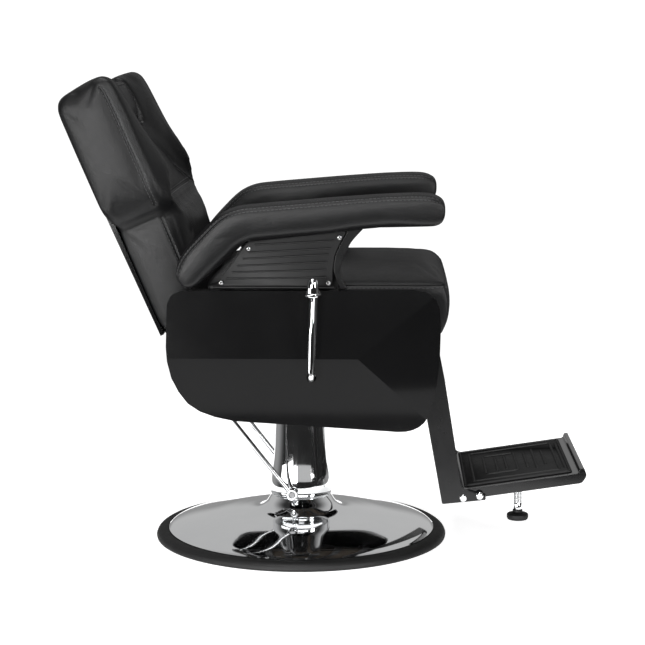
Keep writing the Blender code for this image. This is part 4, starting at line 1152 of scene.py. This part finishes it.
def recess_screw(name, radius, height, face, side, body, node):
    """A domed screw head with a socket, on the chair's side at y = face, in a CAD screw's place."""
    low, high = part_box(node)
    centre = (low + high) / 2
    centre.y = face
    socket = radius * 0.42
    profile = [(0.0, height * 0.25), (socket * 0.92, height * 0.25), (socket, height * 0.35),
               (socket * 1.04, height * 0.92), (socket * 1.25, height), (radius * 0.72, height * 0.88),
               (radius * 0.94, height * 0.48), (radius, height * 0.16), (radius, 0.0004), (0.0, 0.0004)]
    dress(turned(name, profile, CHROME, 40, outward(centre, side)), body, "chrome", node)


# Both ends of every rib on an arm plate, rear then front.
PLATE_RIBS = (
    ((-0.0770, 0.6541), (0.0755, 0.6626)), ((-0.0885, 0.6391), (0.0692, 0.6472)),
    ((-0.0998, 0.6264), (0.0650, 0.6352)), ((-0.1113, 0.6125), (0.0617, 0.6204)),
    ((-0.1216, 0.5999), (0.0597, 0.6049)), ((-0.1330, 0.5870), (0.0600, 0.5898)),
)
# Front and rear edges of the bowed bar in front of the plate, upwards.
BOW_FRONT = ((0.1020, 0.5680), (0.0925, 0.5864), (0.0885, 0.6054), (0.0940, 0.6244), (0.1030, 0.6452),
             (0.1125, 0.6622), (0.1330, 0.6850))
BOW_REAR = ((0.0890, 0.5680), (0.0815, 0.5864), (0.0762, 0.6054), (0.0797, 0.6329), (0.0900, 0.6565),
            (0.1002, 0.6755), (0.1030, 0.6850))


def build_arm_plate(name, side):
    """A moulded plate: ribs with rounded ends and a ledge over the side panel."""
    low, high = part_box("arm_plate_" + name)
    near, far = min(abs(low.y), abs(high.y)), max(abs(low.y), abs(high.y))
    foot = low.z
    face = far - 0.0032
    border = [(-0.1560, foot + 0.006), (0.0720, foot + 0.006), (0.0738, 0.5900), (0.0737, 0.6028),
              (0.0777, 0.6329), (0.0880, 0.6570), (0.0985, 0.6760), (0.1005, 0.6820), (0.0659, 0.6786),
              (-0.0410, 0.6686), (-0.0880, 0.6636), (-0.0945, 0.6560)]
    outline = rounded(border, [0.006, 0.008, 0.03, 0.03, 0.04, 0.04, 0.01, 0.003, 0, 0, 0.003, 0.006], 3)
    y_low, y_high = sorted((side * near, side * face))
    parts = [slab("plate_web_" + name, outline, y_low, y_high, SATIN, 0.0022, 3)]
    for row, ends in enumerate(PLATE_RIBS):
        bar = [Vector((x, side * (face + 0.0002), z)) for x, z in ends]
        parts.append(sweep("plate_rib_%s_%d" % (name, row), resample(bar, 0.02), circle(0.0017, 12), SATIN))
        for tip, (x, z) in enumerate(ends):
            bead = [(0.0, 0.0018), (0.0012, 0.0016), (0.0022, 0.0009), (0.0026, -0.0006), (0.0, -0.0006)]
            place = outward((x, side * face, z), side)
            parts.append(turned("plate_bead_%s_%d_%d" % (name, row, tip), bead, SATIN, 20, place))
    ledge = [(x, side * (face - 0.0035), foot + 0.0026) for x in (-0.1600, 0.0760)]
    parts.append(sweep("plate_ledge_" + name, ledge, circle(0.0028, 12), SATIN, RIGHT))
    dress(join("arm_ribbed_plate_" + name, parts), "seat", "matte_plastic", "arm_plate_" + name)
    for index in range(1, 5):
        screw = "plate_screw_%s_%d" % (name, index)
        recess_screw(screw, 0.0042, 0.0011, side * far, side, "seat", "arm_" + screw)


def build_arm_support(name):
    """The bowed front bar that carries the pad."""
    low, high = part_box("arm_support_" + name)
    outline = profile_curve(BOW_FRONT, 5) + profile_curve(BOW_REAR, 5)[::-1]
    bar = slab("arm_bow_" + name, outline, low.y, high.y, PAINT, 0.0026, 3)
    dress(bar, "seat", "black_paint", "arm_support_" + name)


def build_recline_lever():
    """The bent chrome handle and its bullet knob."""
    x, y, z = RECLINE_AXIS
    corner = 0.013
    path = [Vector((x, -0.2455, z)), Vector((x, y + corner, z))]
    for degrees in range(10, 91, 10):
        a = math.radians(degrees)
        path.append(Vector((x, y + corner - corner * math.sin(a), z + corner * (1 - math.cos(a)))))
    top = Vector((x + 0.0035, y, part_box("recline_knob")[0].z))
    path.append(top)
    dress(sweep("recline_handle", path, circle(0.0063, 28), CHROME), "recline_lever", "chrome", "recline_lever")
    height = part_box("recline_knob")[1].z - top.z
    knob = [(0.0, height), (0.0042, height - 0.0006), (0.0078, height - 0.0028), (0.0102, height - 0.0072),
            (0.0112, height - 0.0130), (0.0113, 0.0100), (0.0111, 0.0082), (0.0132, 0.0072), (0.0135, 0.0060),
            (0.0135, 0.0018), (0.0126, 0.0006), (0.0100, 0.0), (0.0, 0.0)]
    dress(turned("recline_bullet_knob", knob, CHROME, 72, Matrix.Translation(top)), "recline_lever", "chrome",
          "recline_knob")


# ---------------------------------------------------------------- footrest
TRAY_TILT = math.radians(8.6)
MAT_REAR = Vector((0.3420, 0.0, 0.1386 + 0.0120 * math.tan(TRAY_TILT)))
MAT_FRAME = Matrix.Translation(MAT_REAR) @ Matrix.Rotation(-TRAY_TILT, 4, "Y")


def build_footrest():
    """Both swing arms with their screws, the folded tray and its mat."""
    for name, side in SIDES:
        low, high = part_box("footrest_arm_" + name)
        radius = high.z - FOOT_AXIS.z
        lower = [(0.2960, 0.1109), (0.3490, 0.1165), (0.3850, 0.1204), (0.3850, 0.1300), (0.3400, 0.1415),
                 (0.3345, 0.1530), (0.3235, 0.2209), (0.2995, 0.3679)]
        hub = [(FOOT_AXIS.x + radius * math.cos(a), FOOT_AXIS.z + radius * math.sin(a))
               for a in (math.radians(degrees) for degrees in range(10, 171, 10))]
        rear = [(FOOT_AXIS.x - radius, FOOT_AXIS.z - 0.006), (0.2632, 0.2893)]
        sizes = [0.004, 0, 0.003, 0.004, 0.01, 0.02, 0, 0.05] + [0] * (len(hub) + 1) + [0.05]
        arm = slab("foot_arm_" + name, rounded(lower + hub + rear, sizes), low.y, high.y, PAINT, 0.0018, 3)
        dress(arm, "footrest", "black_paint", "footrest_arm_" + name)
        for index in (1, 2):
            node = "footrest_screw_%s_%d" % (name, index)
            face = side * abs(high.y if side > 0 else low.y)
            recess_screw("foot_screw_%s_%d" % (name, index), 0.0080, 0.0045, face, side, "footrest", node)

    low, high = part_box("footrest_tray")
    section = [(0.3300, 0.1225), (0.3856, 0.1250), (0.5812, 0.1545), (0.5915, 0.1700), (0.5850, 0.1870),
               (0.5770, 0.1850), (0.5740, 0.1755), (0.3300, 0.1386)]
    sizes = [0.002, 0.02, 0.012, 0.012, 0.004, 0.003, 0.006, 0.002]
    tray = slab("foot_tray", rounded(section, sizes, 5), low.y, high.y, GLOSS, 0.0022, 4)
    dress(tray, "footrest", "gloss_plastic", "footrest_tray")
    build_foot_mat()


def ring_path(x0, x1, y0, y1, z, radius=0.006):
    """A closed rectangle with rounded corners, carried on past its start so that a sweep along it closes."""
    corners = [Vector((x0, y0, z)), Vector((x1, y0, z)), Vector((x1, y1, z)), Vector((x0, y1, z))]
    path = fillet(corners, radius, True, 4)
    return path + path[:2]


# The mat lies flat from its rear edge, x forwards. Ribs across it: place along it and half length.
MAT_LENGTH = 0.2236
MAT_HALF = 0.1590
MAT_TOP = 0.0018
MAT_LONG = ((0.0230, 0.1280), (0.2010, 0.1180), (0.2130, 0.1180))
MAT_SHORT = ((0.0760, 0.0560), (0.0960, 0.0560), (0.1390, 0.0660), (0.1575, 0.0860), (0.1770, 0.0620))
# Loops: rear, front, right, left, height and bead radius.
MAT_LOOPS = (("mat_border", 0.0045, MAT_LENGTH - 0.0045, -MAT_HALF + 0.0045, MAT_HALF - 0.0045, MAT_TOP, 0.0022),
             ("mat_outer_loop", 0.0230, 0.2010, -0.1280, 0.1280, MAT_TOP - 0.0009, 0.0031),
             ("mat_inner_loop", 0.0510, 0.1180, -0.0820, 0.0820, MAT_TOP - 0.0009, 0.0031))


def build_foot_mat():
    """Rubber mat with beaded ribs and loops; drawn flat, then laid on the tray."""
    outline = rounded([(0, -MAT_HALF), (MAT_LENGTH, -MAT_HALF), (MAT_LENGTH, MAT_HALF), (0, MAT_HALF)], 0.006)
    verts, faces = prism(outline, 0.0004, 0.0020)
    sheet = piece("mat_sheet", [(x, y, z) for x, z, y in verts], faces, RUBBER)
    parts = [round_edges(sheet, 0.0006, 2)]
    for name, rear, front, right, left, height, bead in MAT_LOOPS:
        loop = ring_path(rear, front, right, left, height)
        parts.append(sweep(name, loop, circle(bead, 10), RUBBER, domed=False))
    for x, reach in MAT_LONG + MAT_SHORT:
        bar = resample([(x, -reach, MAT_TOP), (x, reach, MAT_TOP)], 0.02)
        parts.append(sweep("mat_rib", bar, circle(0.0031, 10), RUBBER))
    mat = join("foot_mat_ribbed", parts)
    mat.data.transform(MAT_FRAME)
    dress(mat, "footrest", "rubber", "footrest_mat")


def build_foot_stop():
    """The threaded chrome stem and its rubber foot."""
    low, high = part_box("foot_stop_stem")
    radius, root, pitch, thread_top = 0.0090, 0.0084, 0.0030, 0.1180
    stem = [(0.0, low.z), (0.0085, low.z), (radius, low.z + 0.0006)]
    z = low.z + 0.014
    while z < thread_top:
        stem += [(radius, z), (root, z + 0.0008), (radius, z + 0.0016)]
        z += pitch
    stem += [(radius, high.z - 0.001), (0.0082, high.z), (0.0, high.z)]
    place = Matrix.Translation(((low.x + high.x) / 2, 0.0, 0.0))
    dress(turned("foot_stop_screw_stem", stem, CHROME, 64, place), "foot_stop", "chrome", "foot_stop_stem")
    pad = [(0.0, 0.0557), (0.0095, 0.0557), (0.0104, 0.0545), (0.0105, 0.0505), (0.0118, 0.0492),
           (0.0165, 0.0478), (0.0212, 0.0466), (0.0227, 0.0450), (0.0230, 0.0425), (0.0229, 0.0385),
           (0.0218, 0.0352), (0.0205, 0.0341), (0.0120, 0.0340), (0.0115, 0.0350), (0.0, 0.0350)]
    dress(turned("foot_stop_rubber", pad, RUBBER, 72, place), "foot_stop", "rubber", "foot_stop_pad")


def build_back_shell():
    """Glossy rear cover with a soft fold across it."""
    shell = [(0.0005, 0.0200), (-0.0030, 0.2900), (0.0010, 0.5050), (0.0075, 0.5050), (0.0075, 0.0200)]
    outline = rounded(shell, [0.001, 0.08, 0.001, 0.001, 0.001], 5)
    low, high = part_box("back_shell")
    cover = slab("back_rear_shell", outline, low.y, high.y, GLOSS, 0.0016, 3)
    cover.data.transform(BACK_FRAME)
    dress(cover, "back", "gloss_plastic", "back_shell")


def finish_cad_nodes():
    """Every CAD node that is still shown takes the procedural finish of its slot."""
    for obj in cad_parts.values():
        for slot in obj.material_slots:
            stem = (slot.material.name if slot.material else "black_paint").split(".")[0]
            slot.material = FINISH.get(stem, PAINT)


# ---------------------------------------------------------------- stage
FLOOR_EDGES = (-0.62, 1.10, -0.85, 1.80)        # left, right, front and rear of the pale sweep
FLOOR_GLOW = 0.75                               # it is lit from below as well
BACKDROP = 1.10                                 # what the camera sees past the chair
ROOM_DARK, ROOM_PALE = 0.03, 0.50               # the room in front of the chair and behind it
ROOM_TURN = (-0.30, 0.50)                       # where one passes into the other, as a direction's y
ROOM_HORIZON = 0.60                             # the rear wall is dimmer near the floor
ROOM_RISE = (0.07, 0.19)
SUN_POWER, SUN_SPREAD = 1.3, math.radians(30.0)
# Name, place, target, size and power of each lamp.
LAMPS = (
    ("softbox_left", (-1.45, -3.8, 0.62), (-0.3, 0.0, 0.70), (1.0, 0.60), 46.0),
    ("softbox_low", (0.60, -3.9, 1.70), (0.0, 0.0, 0.60), (2.6, 0.50), 24.0),
    ("softbox_front", (-0.3, -3.0, 2.7), (0.0, 0.0, 0.6), (2.4, 1.0), 18.0),
    ("softbox_right", (2.6, -2.4, 1.2), (0.1, 0.0, 0.6), (0.8, 1.6), 26.0),
    ("side_card", (-1.10, -0.83, 0.29), (-0.25, -0.33, 0.42), (1.2, 0.32), 4.0),
    ("low_card", (0.05, -0.62, 0.24), (0.05, 0.0, 0.24), (1.0, 0.14), 0.22),
)
CAMERA_PLACE = (0.1648, -4.0, 1.058)
CAMERA_DOWN, CAMERA_LEFT = 8.53, 1.705          # degrees
CAMERA_LENS, CAMERA_SENSOR = 106.6, 36.0        # mm


def make_floor():
    """A pale sweep under and behind the chair; the room in front of it stays dark."""
    mesh = bpy.data.meshes.new("studio_floor")
    left, right, front, rear = FLOOR_EDGES
    corners = [(left, front, 0), (right, front, 0), (right, rear, 0), (left, rear, 0)]
    mesh.from_pydata(corners, [], [(0, 1, 2, 3)])
    material = bpy.data.materials.new("pale_floor")
    material.use_nodes = True
    shader = material.node_tree.nodes["Principled BSDF"]
    shader.inputs["Base Color"].default_value = (0.92, 0.92, 0.92, 1.0)
    shader.inputs["Roughness"].default_value = 0.7
    shader.inputs["Specular IOR Level"].default_value = 0.0
    shader.inputs["Emission Color"].default_value = (1.0, 1.0, 1.0, 1.0)
    shader.inputs["Emission Strength"].default_value = FLOOR_GLOW
    mesh.materials.append(material)
    floor = bpy.data.objects.new("studio_floor", mesh)
    floor.location.z = -0.0002
    bpy.context.scene.collection.objects.link(floor)


def make_world():
    """White behind the chair for the camera; a dim room with pale side walls for light and reflections."""
    world = bpy.data.worlds.new("studio")
    world.use_nodes = True
    tree = world.node_tree
    background = tree.nodes["Background"]
    background.inputs["Color"].default_value = (1.0, 1.0, 1.0, 1.0)
    coords = add_node(tree, "ShaderNodeTexCoord").outputs["Generated"]
    split = add_node(tree, "ShaderNodeSeparateXYZ")
    tree.links.new(coords, split.inputs["Vector"])
    room = add_node(tree, "ShaderNodeMath", {"operation": "MULTIPLY"})
    ramps = (("Y", ROOM_TURN, ROOM_DARK, ROOM_PALE), ("Z", ROOM_RISE, ROOM_HORIZON, 1.0))
    for index, (axis, (start, end), low, high) in enumerate(ramps):
        ramp = add_node(tree, "ShaderNodeMapRange", {"interpolation_type": "SMOOTHSTEP"}, From_Min=start,
                        From_Max=end, To_Min=low, To_Max=high)
        tree.links.new(split.outputs[axis], ramp.inputs["Value"])
        tree.links.new(ramp.outputs["Result"], room.inputs[index])
    path = add_node(tree, "ShaderNodeLightPath")
    chosen = add_node(tree, "ShaderNodeMix", {"data_type": "FLOAT"})
    chosen.inputs["B"].default_value = BACKDROP
    tree.links.new(path.outputs["Is Camera Ray"], chosen.inputs["Factor"])
    tree.links.new(room.outputs["Value"], chosen.inputs["A"])
    tree.links.new(chosen.outputs["Result"], background.inputs["Strength"])
    bpy.context.scene.world = world


def area_light(name, location, target, size, power):
    """A rectangular lamp that the camera doesn't see."""
    light = bpy.data.lights.new(name, "AREA")
    light.shape = "RECTANGLE"
    light.size, light.size_y = size
    light.energy = power
    obj = bpy.data.objects.new(name, light)
    obj.location = location
    obj.rotation_euler = (Vector(target) - Vector(location)).to_track_quat("-Z", "Y").to_euler()
    obj.visible_camera = False
    bpy.context.scene.collection.objects.link(obj)


def make_lights():
    """Soft light from the ceiling, four softboxes and two reflector cards."""
    sun = bpy.data.lights.new("ceiling_bounce", "SUN")
    sun.energy = SUN_POWER
    sun.angle = SUN_SPREAD
    obj = bpy.data.objects.new("ceiling_bounce", sun)
    obj.rotation_euler = (math.radians(8.0), math.radians(-6.0), 0.0)
    bpy.context.scene.collection.objects.link(obj)
    for lamp in LAMPS:
        area_light(*lamp)


def make_camera():
    """A long lens on the chair's right, looking slightly down."""
    camera = bpy.data.cameras.new("camera")
    camera.lens = CAMERA_LENS
    camera.sensor_width = CAMERA_SENSOR
    obj = bpy.data.objects.new("camera", camera)
    obj.location = CAMERA_PLACE
    obj.rotation_euler = (math.radians(90.0 - CAMERA_DOWN), 0.0, math.radians(CAMERA_LEFT))
    bpy.context.scene.collection.objects.link(obj)
    bpy.context.scene.camera = obj
    bpy.context.scene.view_settings.view_transform = "Standard"


def build_chair():
    """Soft pieces first, so that one simulation serves them all, then the hard ones."""
    back = build_back_upholstery()
    headrest = build_headrest_pad()
    seat = build_seat_upholstery()
    pads = [(build_arm_pad(name, side), name, side) for name, side in SIDES]
    simulate()
    finish_back_upholstery(back)
    finish_headrest_pad(headrest)
    finish_seat_upholstery(seat)
    for pad, name, side in pads:
        finish_arm_pad(pad, name, side)
    build_recess_liner()
    build_back_shell()
    build_base()
    build_pump_lever()
    for name, side in SIDES:
        build_side_panel(name, side)
        build_arm_plate(name, side)
        build_arm_support(name)
    build_recline_lever()
    build_footrest()
    build_foot_stop()
    finish_cad_nodes()


build_chair()
make_floor()
make_world()
make_lights()
make_camera()
